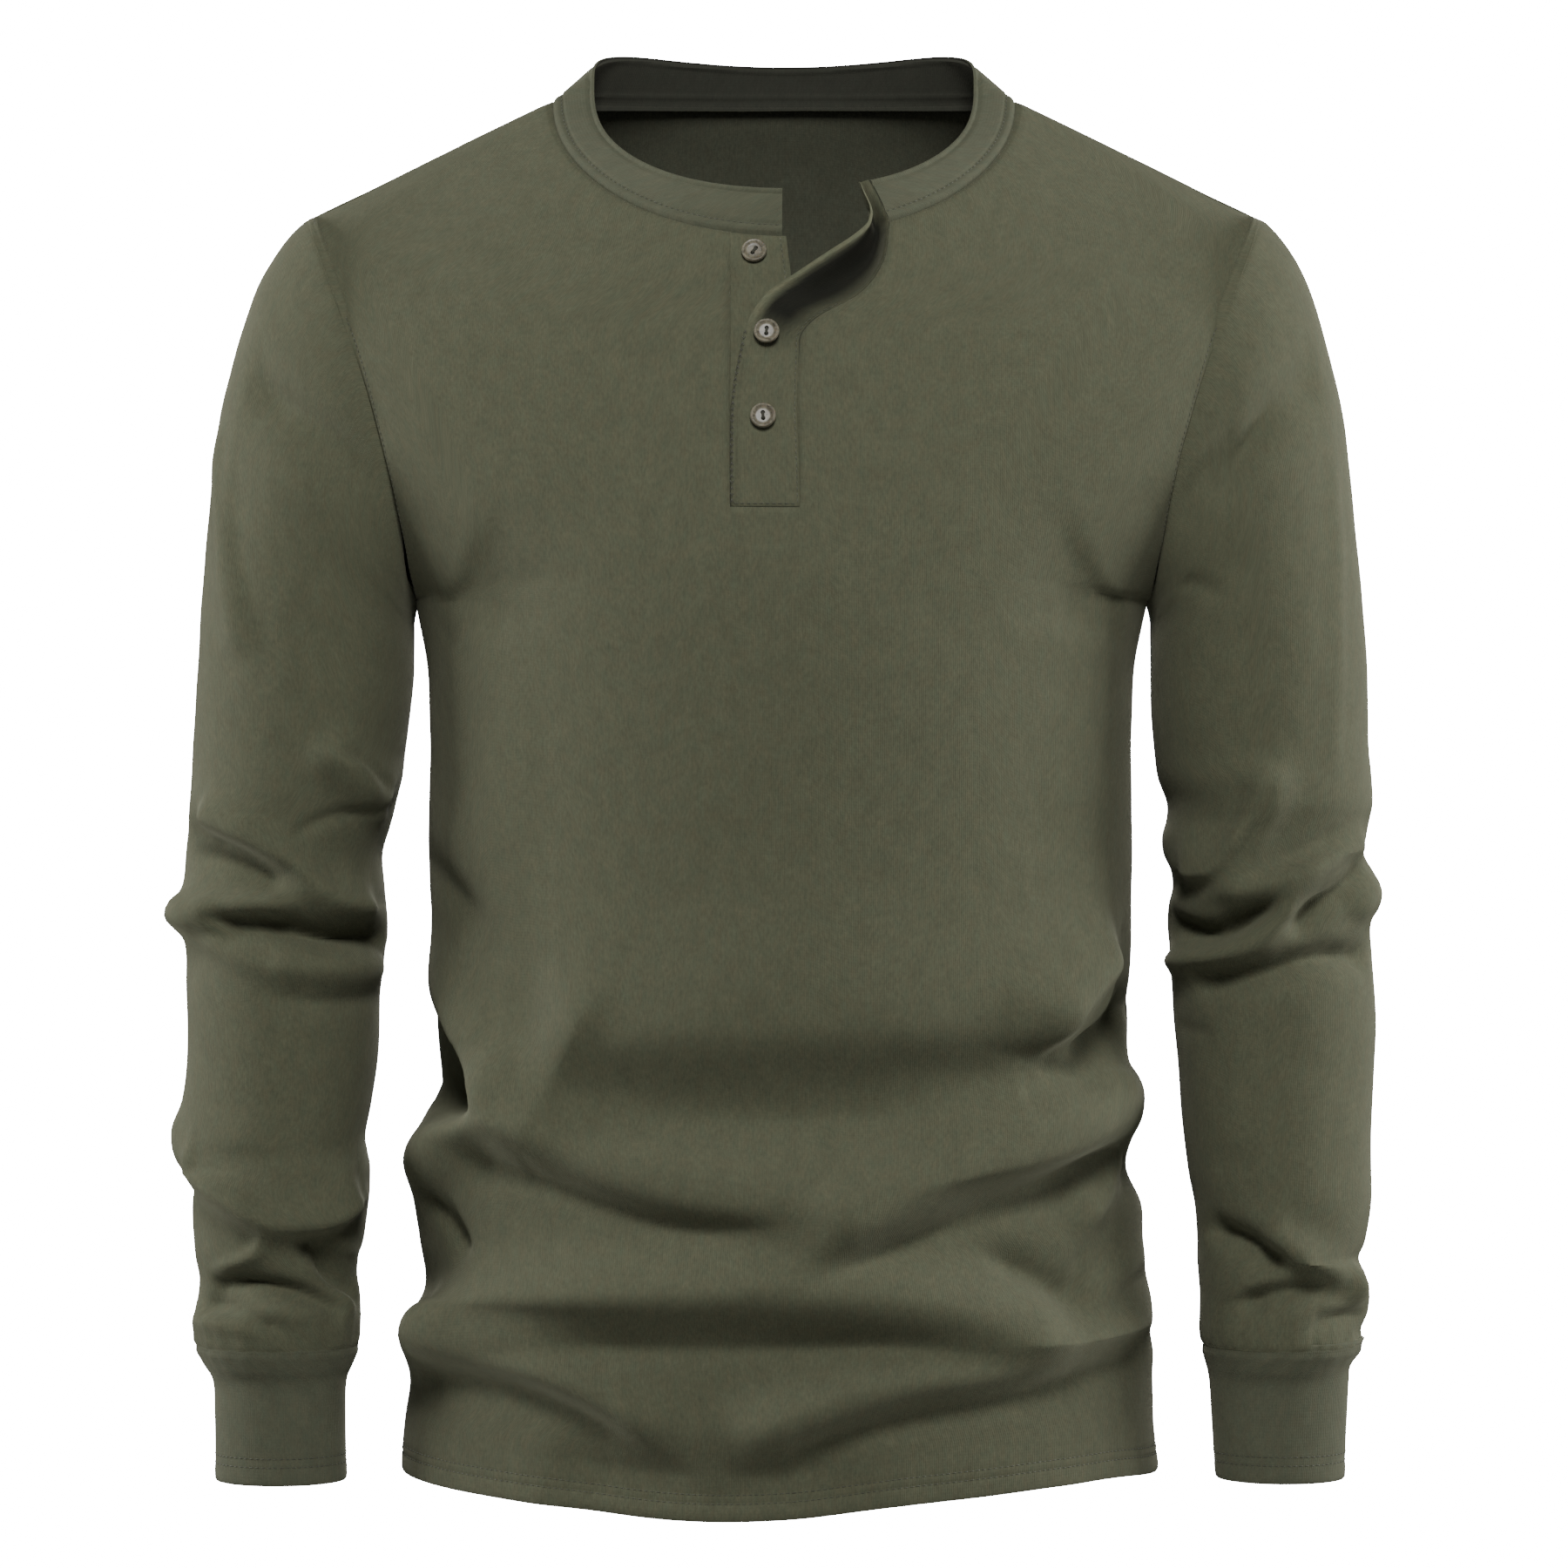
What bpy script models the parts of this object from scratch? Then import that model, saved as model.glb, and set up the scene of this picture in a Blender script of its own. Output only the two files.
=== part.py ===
# Long-sleeve henley t-shirt, worn shape with no wearer: hollow body and sleeves, neckband open at
# the front over a three-button placket. Metres, +Z up, front faces -Y, +X is the wearer's left.
# The origin is the middle of the neck opening, level with the points where the shoulder seams
# meet the neckband. Tables are in millimetres and degrees and are turned to metres when used.
#
# Round the body and round each sleeve, places are given by a front-view angle q: 0 faces the
# viewer, -90 is the -X side, +90 the +X side and 180 the back.
import bpy
import bmesh
import numpy as np
from mathutils import Matrix, Vector

MM = 0.001

# Cloth and seams
wall = 1.3            # jersey, with a little body so that the walls stay solid
band_wall = 1.9       # neckband, cuffs and plackets are two layers
seam_gap = 0.3
side_gap = 0.6        # wider where two walls lean together
armhole_gap = 1.2
shoulder_gap = 1.0

# Neck and shoulders
neck_half_width = 120.0
neck_front_depth, neck_front_drop = 85.0, 79.0
neck_back_depth, neck_back_rise = 72.0, 6.0
shoulder_half_width, shoulder_drop = 245.5, 61.0
underarm_half_width, underarm_drop = 189.0, 259.0
armhole_half_depth = 68.0
armhole_bow = {-1: 8.0, 1: 10.0}    # how far the front armhole seam bows in, by side
back_bow = 5.0                      # the same behind, on both sides
bow_rings = 5                       # sleeve rings over which the bow dies out
neck_share = 0.56                   # share of a panel's top edge that is neckline

# Placket
placket_left = -26.6         # slit edge in the front panel on the wearer's right
slit_bottom = -198.6         # height along the panel, before its tilt
placket_foot = -216.6        # z of the box's foot in the front view
band_rows = (0.0, 0.33, 0.66, 1.0)      # rows of the neckband, from its seam to its top edge
band_zetas = (8.0, 16.0, 24.0)          # where the upper placket's table puts the last three
band_end_left, band_end_right = -1.0, 53.0    # x of the neckband's two front ends

# Outline in the front view by height, up to the underarm; it carries the folds at the sides
body_outlines = (
    ("z", "low_x", "high_x"),
    (-706, -197.0, 193.0),
    (-677, -195.0, 190.5),
    (-659, -192.5, 190.0),
    (-645, -193.5, 189.5),
    (-632, -192.0, 184.5),
    (-614, -185.5, 186.0),
    (-587, -188.0, 185.0),
    (-569, -190.0, 184.5),
    (-551, -189.5, 176.5),
    (-524, -183.5, 181.0),
    (-497, -180.0, 172.0),
    (-470, -179.0, 178.5),
    (-443, -180.0, 179.0),
    (-398, -183.5, 180.0),
    (-326, -183.0, 179.5),
    (-290, -184.5, 181.5),
    (-259, -190.0, 188.0),
)
# Half depth of the body in front of and behind its middle, by height
body_depths = (
    ("z", "front", "back"),
    (-706, 126, 113),
    (-677, 125, 112),
    (-659, 124, 111),
    (-645, 123, 110),
    (-632, 123, 110),
    (-614, 122, 108),
    (-587, 121, 107),
    (-569, 120, 106),
    (-551, 119, 105),
    (-524, 118, 104),
    (-497, 117, 104),
    (-470, 117, 105),
    (-443, 118, 107),
    (-398, 120, 111),
    (-326, 125, 121),
    (-290, 127, 126),
    (-259, 128, 130),
    (-200, 124, 134),
    (-130, 114, 127),
    (-61, 101, 106),
    (-30, 94, 91),
    (0, 85, 72),
)

# Sleeve rings from armhole to cuff seam: the ends of each ring in the front view (low x first),
# the ring's middle in y and its half depth
sleeve_right_rings = (
    ("x0", "z0", "x1", "z1", "y", "depth"),
    (-245.0, -61, -190.0, -259, 0, 68),
    (-254.5, -70, -190.5, -262, 0, 68),
    (-264.0, -83, -190.8, -264.5, 0, 68),
    (-273.5, -102, -191.0, -267, 0, 67),
    (-284.5, -137, -191.2, -270, 0, 66),
    (-290.7, -164, -191.2, -273, 1, 65),
    (-294.3, -191, -191.2, -278, 2, 64),
    (-298.0, -227, -191.2, -286, 2, 63),
    (-301.0, -263, -191.5, -299, 3, 62),
    (-303.0, -299, -193.3, -318, 4, 62),
    (-305.0, -331, -196.0, -337, 5, 61),
    (-306.0, -347, -197.5, -350, 5, 61),
    (-307.4, -362, -200.7, -362, 5, 60),
    (-308.7, -376, -204.3, -376, 6, 59),
    (-309.6, -390, -208.0, -390, 6, 58),
    (-310.0, -407, -207.0, -407, 6, 58),
    (-312.3, -416, -206.0, -416, 6, 59),
    (-311.4, -425, -205.0, -425, 6, 59),
    (-309.6, -434, -204.8, -434, 5, 58),
    (-308.7, -443, -207.0, -443, 5, 57),
    (-309.0, -460, -208.6, -460, 4, 56),
    (-308.5, -493, -209.5, -493, 1, 54),
    (-310.0, -515, -212.5, -515, -2, 52),
    (-310.8, -533, -215.5, -533, -5, 51),
    (-308.8, -542, -214.5, -542, -6, 50),
    (-303.0, -551, -213.0, -551, -8, 50),
    (-304.2, -569, -214.0, -569, -11, 48),
    (-303.0, -587, -216.3, -587, -13, 46),
    (-302.0, -596, -219.5, -596, -14, 44),
    (-300.0, -605, -220.0, -605, -16, 43),
    (-300.3, -614, -218.0, -614, -17, 42),
    (-302.0, -625, -217.0, -625, -18, 42),
    (-302.0, -640, -217.2, -640, -20, 40),
)
sleeve_left_rings = (
    ("x0", "z0", "x1", "z1", "y", "depth"),
    (188.0, -259, 246.0, -61, 0, 68),
    (188.5, -262, 255.0, -70, 0, 68),
    (188.8, -264.5, 264.0, -83, 0, 68),
    (189.0, -267, 272.3, -102, 0, 67),
    (189.2, -270, 283.0, -137, 0, 66),
    (189.2, -273, 288.3, -164, 1, 65),
    (189.2, -278, 291.7, -191, 2, 64),
    (189.2, -286, 295.7, -227, 2, 63),
    (189.3, -299, 299.2, -263, 3, 62),
    (190.0, -318, 301.6, -299, 4, 62),
    (192.0, -337, 302.0, -331, 5, 61),
    (194.2, -350, 303.3, -347, 5, 61),
    (198.5, -362, 303.8, -362, 5, 60),
    (198.3, -371, 302.4, -371, 6, 59),
    (195.8, -380, 300.6, -380, 6, 58),
    (196.4, -389, 299.4, -389, 6, 58),
    (200.3, -398, 302.8, -398, 6, 59),
    (201.0, -407, 305.0, -407, 6, 60),
    (198.5, -416, 304.6, -416, 6, 59),
    (198.2, -425, 302.8, -425, 6, 58),
    (200.5, -443, 304.0, -443, 5, 57),
    (201.3, -470, 305.5, -470, 3, 55),
    (203.2, -497, 304.3, -497, 0, 53),
    (205.0, -524, 302.8, -524, -4, 52),
    (207.8, -551, 302.4, -551, -8, 50),
    (211.0, -569, 301.6, -569, -11, 48),
    (212.0, -587, 298.3, -587, -13, 45),
    (212.0, -596, 294.7, -596, -14, 43),
    (212.7, -605, 298.2, -605, -16, 43),
    (213.5, -614, 299.8, -614, -17, 43),
    (213.3, -623, 299.0, -623, -18, 42),
    (213.0, -632, 295.2, -632, -19, 41),
    (213.7, -640, 296.8, -640, -20, 40),
)
cuff_right_rings = (
    ("x0", "z0", "x1", "z1", "y", "depth"),
    (-302.0, -640.8, -217.2, -640.8, -20, 40),
    (-297.3, -650, -221.0, -650, -20, 35),
    (-292.5, -659, -224.2, -659, -20, 30),
    (-291.6, -677, -224.8, -677, -20, 29),
    (-291.2, -709, -224.2, -709, -20, 29),
)
cuff_left_rings = (
    ("x0", "z0", "x1", "z1", "y", "depth"),
    (213.7, -640.8, 296.8, -640.8, -20, 40),
    (216.2, -650, 290.3, -650, -20, 35),
    (217.9, -659, 289.3, -659, -20, 30),
    (219.0, -677, 288.4, -677, -20, 29),
    (221.3, -708, 287.2, -708, -20, 29),
)

# How far a degree of q reaches round the cloth
body_girth_per_degree = 2.75
arm_girth_per_degree = 1.0

# Folds: the crest or the bottom of each as points, its height (a trough's is negative), and how
# wide it fades on the left and on the right of its direction. Body folds are drawn in the front
# view, in x and z: past the outline, x runs on round the side. Sleeve folds are in q and z.
front_folds = (
    ("name", "path", "height", "left", "right"),
    ("belly roll", ((-110, -482), (0, -478), (90, -480), (168, -470)), 4, 55, 20),
    ("left sash", ((-205, -548), (-165, -533), (-112, -545), (-51, -562), (4, -564)), 8, 26, 13),
    ("right sash", ((205, -510), (172, -517), (108, -540), (43, -566), (-6, -588)), 8, 28, 14),
    ("hip roll", ((-165, -610), (-86, -602), (0, -599), (86, -602), (152, -612)), 8, 20, 14),
    ("low left", ((-205, -640), (-188, -641), (-112, -647), (-64, -667), (-34, -692)), 7, 15, 14),
    ("low right", ((205, -634), (186, -637), (108, -647), (43, -664), (0, -684)), 6, 16, 15),
    ("flank tuck", ((-190, -472), (-176, -482), (-160, -502), (-144, -522)), -7, 13, 9),
    ("flank lip", ((-200, -556), (-184, -546), (-162, -529), (-140, -519)), 5, 9, 8),
    ("slant crease", ((-92, -465), (-107, -497), (-119, -524)), -3, 12, 12),
    ("side hollow", ((128, -478), (152, -492), (180, -490), (205, -484)), -8, 15, 11),
    ("right armpit", ((-176, -238), (-148, -262), (-140, -286)), -5, 24, 24),
    ("left armpit", ((172, -240), (148, -262), (140, -282)), -5, 24, 24),
    ("waist crease", ((-186, -388), (-170, -405), (-146, -430)), -4, 9, 12),
)
back_folds = (
    ("name", "path", "height", "left", "right"),
    ("back sash", ((-170, -500), (-96, -520), (-10, -548), (70, -552)), 7, 14, 26),
    ("back sash low", ((168, -560), (90, -578), (8, -590), (-60, -584)), 7, 24, 14),
    ("seat roll", ((-160, -628), (-70, -618), (30, -620), (150, -634)), 6, 20, 15),
    ("small of back", ((-120, -452), (0, -462), (112, -448)), -5, 26, 26),
    ("blade to blade", ((-95, -175), (0, -190), (98, -172)), -3, 30, 34),
    ("right back armpit", ((-170, -236), (-146, -262), (-138, -300)), -5, 24, 24),
    ("left back armpit", ((168, -240), (142, -266), (136, -296)), -5, 24, 24),
)
sleeve_right_folds = (
    ("name", "path", "height", "left", "right"),
    ("cap crease", ((-57, -203), (-20, -192), (5, -176), (24, -164)), -5, 9, 12),
    ("arm streak", ((-75, -217), (-54, -247), (-40, -275), (-27, -300)), 3, 7, 9),
    ("inner drag", ((8, -331), (27, -344), (49, -360), (78, -368)), 5, 16, 9),
    ("elbow dip", ((-72, -378), (-8, -393), (14, -408)), -5, 8, 10),
    ("elbow crest", ((-14, -381), (10, -397), (30, -412), (68, -419)), 5, 12, 8),
    ("elbow wedge", ((8, -423), (42, -430), (92, -434)), -7, 9, 9),
    ("elbow lip", ((-32, -421), (-3, -432), (24, -441), (88, -441)), 6, 8, 14),
    ("outer bulge", ((-110, -418), (-75, -416), (-13, -415), (16, -412)), 4, 10, 9),
    ("low smile", ((-100, -520), (-76, -545), (-33, -562), (0, -574), (30, -574), (68, -560)), 6, 13, 9),
    ("wrist dip", ((-58, -606), (8, -606), (62, -620)), -5, 9, 8),
    ("wrist roll", ((-85, -628), (0, -620), (80, -613)), 4, 8, 9),
    ("back of elbow", ((120, -405), (170, -415), (220, -402)), 6, 12, 10),
    ("back dip", ((110, -424), (175, -436), (235, -424)), -6, 10, 10),
    ("back wrist", ((120, -590), (180, -600), (240, -588)), 5, 10, 9),
    ("back arm", ((130, -300), (175, -330), (215, -352)), -4, 12, 12),
)
sleeve_left_folds = (
    ("name", "path", "height", "left", "right"),
    ("cap crease", ((-40, -163), (-12, -172), (8, -186)), -5, 10, 10),
    ("cap drag", ((-20, -182), (5, -188), (35, -196), (60, -201)), -4, 9, 10),
    ("inner hook", ((-68, -396), (-31, -397), (-15, -384), (-5, -362), (2, -338)), 5, 14, 9),
    ("elbow crest", ((-38, -412), (0, -404), (31, -395), (72, -381)), 5, 8, 9),
    ("elbow wedge", ((-95, -419), (-45, -436), (-14, -424), (2, -411)), -7, 9, 8),
    ("elbow lip", ((-90, -444), (-32, -440), (-5, -424), (10, -408)), 6, 8, 10),
    ("outer dip", ((4, -430), (22, -412), (62, -392)), -4, 8, 8),
    ("outer bulge", ((40, -420), (60, -412), (110, -408)), 5, 12, 12),
    ("under elbow", ((-54, -451), (-6, -444), (35, -437), (68, -441)), -4, 8, 10),
    ("wrist dip", ((-66, -579), (-27, -586), (5, -597)), -5, 8, 8),
    ("wrist crest", ((-10, -581), (25, -599), (66, -610)), 5, 9, 8),
    ("wrist tuck", ((-42, -617), (3, -607), (50, -606)), -4, 7, 7),
    ("back of elbow", ((130, -398), (180, -412), (235, -404)), 6, 12, 10),
    ("back dip", ((120, -420), (180, -432), (240, -422)), -6, 10, 10),
    ("back wrist", ((125, -596), (180, -588), (235, -598)), 5, 9, 10),
    ("back arm", ((140, -346), (185, -326), (225, -300)), -4, 12, 12),
)

# Placket: height along the panel, and x of the slit edge on the wearer's left
slit_edge = (("zeta", "x"), (slit_bottom, 7.7), (-85, 7.7), (-75, 8.5), (-61, 17.2),
             (-46, 36.8), (-27, 48.5), (0, 53.0))
# Upper placket by height along the panel: its free edge in the front view, how far the strip
# dips in between its two edges, how proud the free edge stands, and the gap at its sewn edge
upper_placket_rows = (
    ("zeta", "free_x", "free_z", "dip", "proud", "gap"),
    (slit_bottom, -26.2, placket_foot, 0.0, 0.5, 0.3),
    (-146.0, -26.2, -180.0, 0.0, 0.5, 0.3),
    (-121.0, -25.6, -162.0, 0.0, 0.6, 0.3),
    (-96.0, -22.5, -143.0, 0.2, 1.5, 0.4),
    (-71.0, -16.0, -121.0, 0.5, 3.6, 1.3),
    (-59.0, -8.0, -110.5, 1.5, 4.6, 1.8),
    (-47.0, 6.0, -101.0, 8.0, 5.0, 2.6),
    (-35.0, 22.0, -90.0, 12.0, 5.0, 2.6),
    (-23.5, 34.5, -81.5, 13.5, 4.5, 2.6),
    (-12.0, 42.0, -74.0, 12.0, 3.5, 2.6),
    (0.0, 45.5, -65.5, 7.5, 2.5, 2.6),
    (12.0, 45.8, -56.5, 4.0, 1.5, 2.6),
    (24.0, 45.8, -49.0, 2.0, 1.0, 2.6),
)
under_placket_foot = -199.0
under_placket_free_edge = (("z", "x"), (under_placket_foot, 4.0), (-104, 4.0), (-80.5, 1.2))
under_placket_dives = -94.0  # below this it goes behind the upper one, and by how much
hidden_depth = 2.3
button_places = (("x", "z"), (-14.8, -88.0), (-8.6, -130.0), (-10.3, -172.0))
button_stands = (0.45, 2.7, 1.2)     # clear of the cloth below, which is proud at the second
hole_radius, hole_spread = 0.85, 2.6

# Mesh density. Panel columns: shoulder, neckline, placket, neckline, shoulder. Rows in bands of
# height up to the underarm; above it a panel has half as many rows as a sleeve has columns.
front_columns = (3, 6, 2, 6, 3)
back_columns = (3, 10, 3)
row_bands = ((-706, -470, 22), (-470, -259, 6))
sleeve_columns, sleeve_rows = 20, 34
top_rows = sleeve_columns // 2
slit_row = 2                 # the row above the underarm where the slit ends
olive, olive_deep, horn = (0.095, 0.098, 0.062), (0.083, 0.086, 0.056), (0.19, 0.175, 0.12)


def rows_of(table):
    return table[0], np.array(table[1:], dtype=float)


def column(table, key, want, at):
    # A column read at any place along another column, as a smooth curve through the rows.
    names, rows = rows_of(table)
    x, y = rows[:, names.index(key)], rows[:, names.index(want)]
    slope = np.gradient(y, x)
    at = np.clip(at, x[0], x[-1])
    i = np.clip(np.searchsorted(x, at) - 1, 0, len(x) - 2)
    step = x[i + 1] - x[i]
    t = (at - x[i]) / step
    return ((2 * t**3 - 3 * t**2 + 1) * y[i] + (t**3 - 2 * t**2 + t) * step * slope[i]
            + (3 * t**2 - 2 * t**3) * y[i + 1] + (t**3 - t**2) * step * slope[i + 1])


def armhole(side, zeta, face):
    # Armhole seam at a height: its x, and how far it stands in front of or behind the side.
    middle, half = (underarm_drop + shoulder_drop) / 2, (underarm_drop - shoulder_drop) / 2
    up = np.clip((zeta + middle) / half, -1, 1)
    out = np.sqrt(1 - up**2)
    reach = (shoulder_half_width + underarm_half_width) / 2
    lean = (shoulder_half_width - underarm_half_width) / 2
    bow = armhole_bow[side] if face == "front" else back_bow
    return side * (reach + lean * up - bow * out**2), armhole_half_depth * out


def body_section(zeta, face):
    # Middle, half width, half depth and the share of a quarter turn that the panel takes.
    low = column(body_outlines, "z", "low_x", zeta)
    high = column(body_outlines, "z", "high_x", zeta)
    depth = column(body_depths, "z", face, zeta)
    low_hole, hole_depth = armhole(-1, zeta, face)
    high_hole = armhole(1, zeta, face)[0]
    in_armhole = (zeta > -underarm_drop) & (zeta < -shoulder_drop)
    on_shoulder = zeta >= -shoulder_drop
    shoulder = neck_half_width + (shoulder_half_width - neck_half_width) * -zeta / shoulder_drop
    low = np.where(in_armhole, low_hole, np.where(on_shoulder, -shoulder, low))
    high = np.where(in_armhole, high_hole, np.where(on_shoulder, shoulder, high))
    turn = np.where(in_armhole, np.arccos(np.clip(hole_depth / depth, 0, 1)), np.pi / 2)
    return (low + high) / 2, (high - low) / 2, depth, turn


def body_surface(s, zeta, face):
    # A point of the front or the back: s runs from side to side, -1 to 1, and zeta is the height
    # along the panel. Toward the neck the sections tilt, so that the last one is the neck seam.
    middle, half, depth, turn = body_section(zeta, face)
    angle = s * turn
    lift = (np.cos(angle) - np.cos(turn)) / (1 - np.cos(turn))
    tilt = np.clip(1 + zeta / underarm_drop, 0, 1)
    rise = -neck_front_drop if face == "front" else neck_back_rise
    facing = -1 if face == "front" else 1
    x = middle * (1 - tilt) + half / np.sin(turn) * np.sin(angle)
    y = facing * depth * np.cos(angle)
    return np.stack([x, y, zeta + rise * tilt * lift], axis=-1)


def spread_up(c, f):
    # Panel columns above the underarm fan out to the neckline and along the shoulder seam. In the
    # middle the rows are nearly even, and at the armholes they follow its rounded ends.
    on_neck = np.abs(c) <= neck_share + 1e-6
    top_s = np.where(on_neck, c / neck_share, np.sign(c))
    past = (np.abs(c) - neck_share) / (1 - neck_share)
    top_zeta = np.where(on_neck, 0.0, -shoulder_drop * past)
    edge = np.abs(c)**3
    rise = (1 - edge) * middle_rise(f) + edge * (1 - np.cos(np.pi * f)) / 2
    return c + (top_s - c) * f, -underarm_drop + (top_zeta + underarm_drop) * rise


def middle_rise(f):
    # Brings the slit row to the foot of the placket.
    power = np.log(1 + slit_bottom / underarm_drop) / np.log(slit_row / top_rows)
    return f**power


def panel_rows():
    # Heights up to the underarm, then shares of the way from there to the top edge.
    low = np.concatenate([np.linspace(a, b, n, endpoint=False) for a, b, n in row_bands])
    return [(z, 0.0) for z in low] + [(None, f) for f in np.linspace(0, 1, top_rows + 1)]


def rows_below_underarm():
    return sum(count for low, high, count in row_bands)


def column_lines(stops, counts):
    # Column values between the stops, with the last one included.
    parts = [np.linspace(a, b, n, endpoint=False) for a, b, n in zip(stops, stops[1:], counts)]
    return np.concatenate(parts + [[stops[-1]]])


def column_at(x, zeta, f):
    # The column value whose line stands at x on this row, close to the middle of the front.
    middle, half, depth, turn = body_section(np.array([float(zeta)]), "front")
    tilt = np.clip(1 + zeta / underarm_drop, 0, 1)
    angle = np.arcsin((x - middle * (1 - tilt)) * np.sin(turn) / half)
    spread = 1 + f * (1 / neck_share - 1)
    return float((angle / turn / spread)[0])


def front_grid():
    # (s, zeta) of every vertex of the front, row by row, with lines along both slit edges.
    grid = []
    for z, f in panel_rows():
        zeta = z if z is not None else -underarm_drop * (1 - middle_rise(f))
        right_x = float(column(slit_edge, "zeta", "x", np.array([float(zeta)]))[0])
        stops = (-1, -neck_share, column_at(placket_left, zeta, f), column_at(right_x, zeta, f),
                 neck_share, 1)
        c = column_lines(stops, front_columns)
        grid.append((c, np.full_like(c, zeta)) if z is not None else spread_up(c, f))
    return np.array(grid).transpose(0, 2, 1)


def back_grid():
    grid = []
    for z, f in panel_rows():
        c = column_lines((-1, -neck_share, neck_share, 1), back_columns)
        grid.append((c, np.full_like(c, z)) if z is not None else spread_up(c, f))
    return np.array(grid).transpose(0, 2, 1)


def smooth_path(points, steps=6):
    # A soft curve through the path's points.
    points = np.array(points, dtype=float)
    if len(points) < 3:
        return points
    t = np.arange(len(points))
    fine = np.linspace(0, len(points) - 1, (len(points) - 1) * steps + 1)
    slope = np.gradient(points, axis=0)
    i = np.clip(fine.astype(int), 0, len(points) - 2)
    u = (fine - t[i])[:, None]
    return ((2 * u**3 - 3 * u**2 + 1) * points[i] + (u**3 - 2 * u**2 + u) * slope[i]
            + (3 * u**2 - 2 * u**3) * points[i + 1] + (u**3 - u**2) * slope[i + 1])


def fold_relief(around, height, folds):
    # Height of all folds at places given in mm round the cloth and mm up.
    place = np.stack([around, height], axis=-1)
    relief = np.zeros(around.shape)
    for path, crest, left, right in folds:
        a, b = path[:-1], path[1:]
        run = b - a
        length = np.linalg.norm(run, axis=1)
        start = np.concatenate([[0], np.cumsum(length)[:-1]])
        best = np.full(around.shape, 1e9)
        side = np.zeros(around.shape)
        along = np.zeros(around.shape)
        for k in range(len(a)):
            rel = place - a[k]
            t = np.clip((rel @ run[k]) / length[k]**2, 0, 1)
            off = rel - t[..., None] * run[k]
            dist = np.linalg.norm(off, axis=-1)
            near = dist < best
            cross = run[k][0] * rel[..., 1] - run[k][1] * rel[..., 0]
            best = np.where(near, dist, best)
            side = np.where(near, cross, side)
            along = np.where(near, start[k] + t * length[k], along)
        share = along / length.sum()
        taper = np.sin(np.pi / 2 * np.clip(np.minimum(share, 1 - share) / 0.25, 0.15, 1))
        width = np.where(side > 0, left, right)
        relief += crest * taper * np.exp(-(best / width)**2)
    return relief


def body_fold_paths():
    # Front and back folds with x turned to a distance round the body from the middle of the front.
    paths = []
    for table, face in ((front_folds, "front"), (back_folds, "back")):
        for name, path, crest, left, right in table[1:]:
            points = smooth_path(path)
            x, z = points[:, 0], points[:, 1]
            middle, half, depth, turn = body_section(z, face)
            off = x - middle
            q = np.degrees(np.arcsin(np.clip(off / half, -1, 1)))
            past = np.maximum(np.abs(off) - half, 0) / body_girth_per_degree
            q = q + np.sign(off) * past
            if face == "back":
                q = 180 - q
            q = (q - q[0] + 180) % 360 - 180 + q[0]
            paths.append((np.stack([q * body_girth_per_degree, z], axis=-1), crest, left, right))
    return paths


def arm_fold_paths(table):
    paths = []
    for name, path, crest, left, right in table[1:]:
        points = smooth_path(path) * np.array([arm_girth_per_degree, 1.0])
        paths.append((points, crest, left, right))
    return paths


def round_relief(q, height, paths, per_degree):
    # Folds repeat every full turn, so each place is also read one turn back and one turn on.
    q = (np.round(q, 6) + 180) % 360 - 180
    return sum(fold_relief((q + turn) * per_degree, height, paths) for turn in (-360, 0, 360))


def normals_of(points, tube=False):
    # Outward directions of a grid of points, from its rows and columns.
    across = np.gradient(points, axis=1)
    if tube:
        across[:, 0] = across[:, -1] = (points[:, 1] - points[:, -2]) / 2
    up = np.gradient(points, axis=0)
    normal = np.cross(across, up)
    size = np.linalg.norm(normal, axis=-1, keepdims=True)
    return normal / np.maximum(size, 1e-9)


def body_normals(s, zeta, face):
    step_s, step_z = 0.01, 1.0
    across = body_surface(s + step_s, zeta, face) - body_surface(s - step_s, zeta, face)
    up = body_surface(s, zeta + step_z, face) - body_surface(s, zeta - step_z, face)
    normal = np.cross(across, up) if face == "front" else np.cross(up, across)
    return normal / np.maximum(np.linalg.norm(normal, axis=-1, keepdims=True), 1e-9)


def body_points(grid, face):
    # The body's surface with its folds, which fade out toward the neck, armholes and hem.
    s, zeta = grid[..., 0], grid[..., 1]
    points = body_surface(s, zeta, face)
    q = s * 90 if face == "front" else 180 - s * 90
    relief = round_relief(q, points[..., 2], body_fold_paths(), body_girth_per_degree)
    quiet = np.clip((-zeta - 20) / 90, 0, 1) * np.clip((zeta + 712) / 30, 0.35, 1)
    # the outline in the section table already carries the folds at the sides
    quiet *= 1 - 0.8 * np.abs(np.sin(np.radians(q)))**8
    quiet *= np.clip(np.clip((-zeta - 262) / 35, 0, 1) + np.clip((1 - np.abs(s)) / 0.15, 0, 1), 0, 1)
    return points + body_normals(s, zeta, face) * (relief * quiet)[..., None]


def ring_tube(rings, q, t):
    # A tube through the ring table: t counts rings from the first, q goes round.
    names, rows = rows_of(rings)
    rings_t = (("t",) + names,) + tuple((k,) + tuple(row) for k, row in enumerate(rows))
    x0, z0, x1, z1, y, depth = (column(rings_t, "t", key, t) for key in names)
    swing = np.sin(np.radians(q))
    out = np.cos(np.radians(q))
    x = (x0 + x1) / 2 + (x1 - x0) / 2 * swing
    z = (z0 + z1) / 2 + (z1 - z0) / 2 * swing
    return np.stack([x, y - depth * out, z], axis=-1), (z0 + z1) / 2


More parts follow.
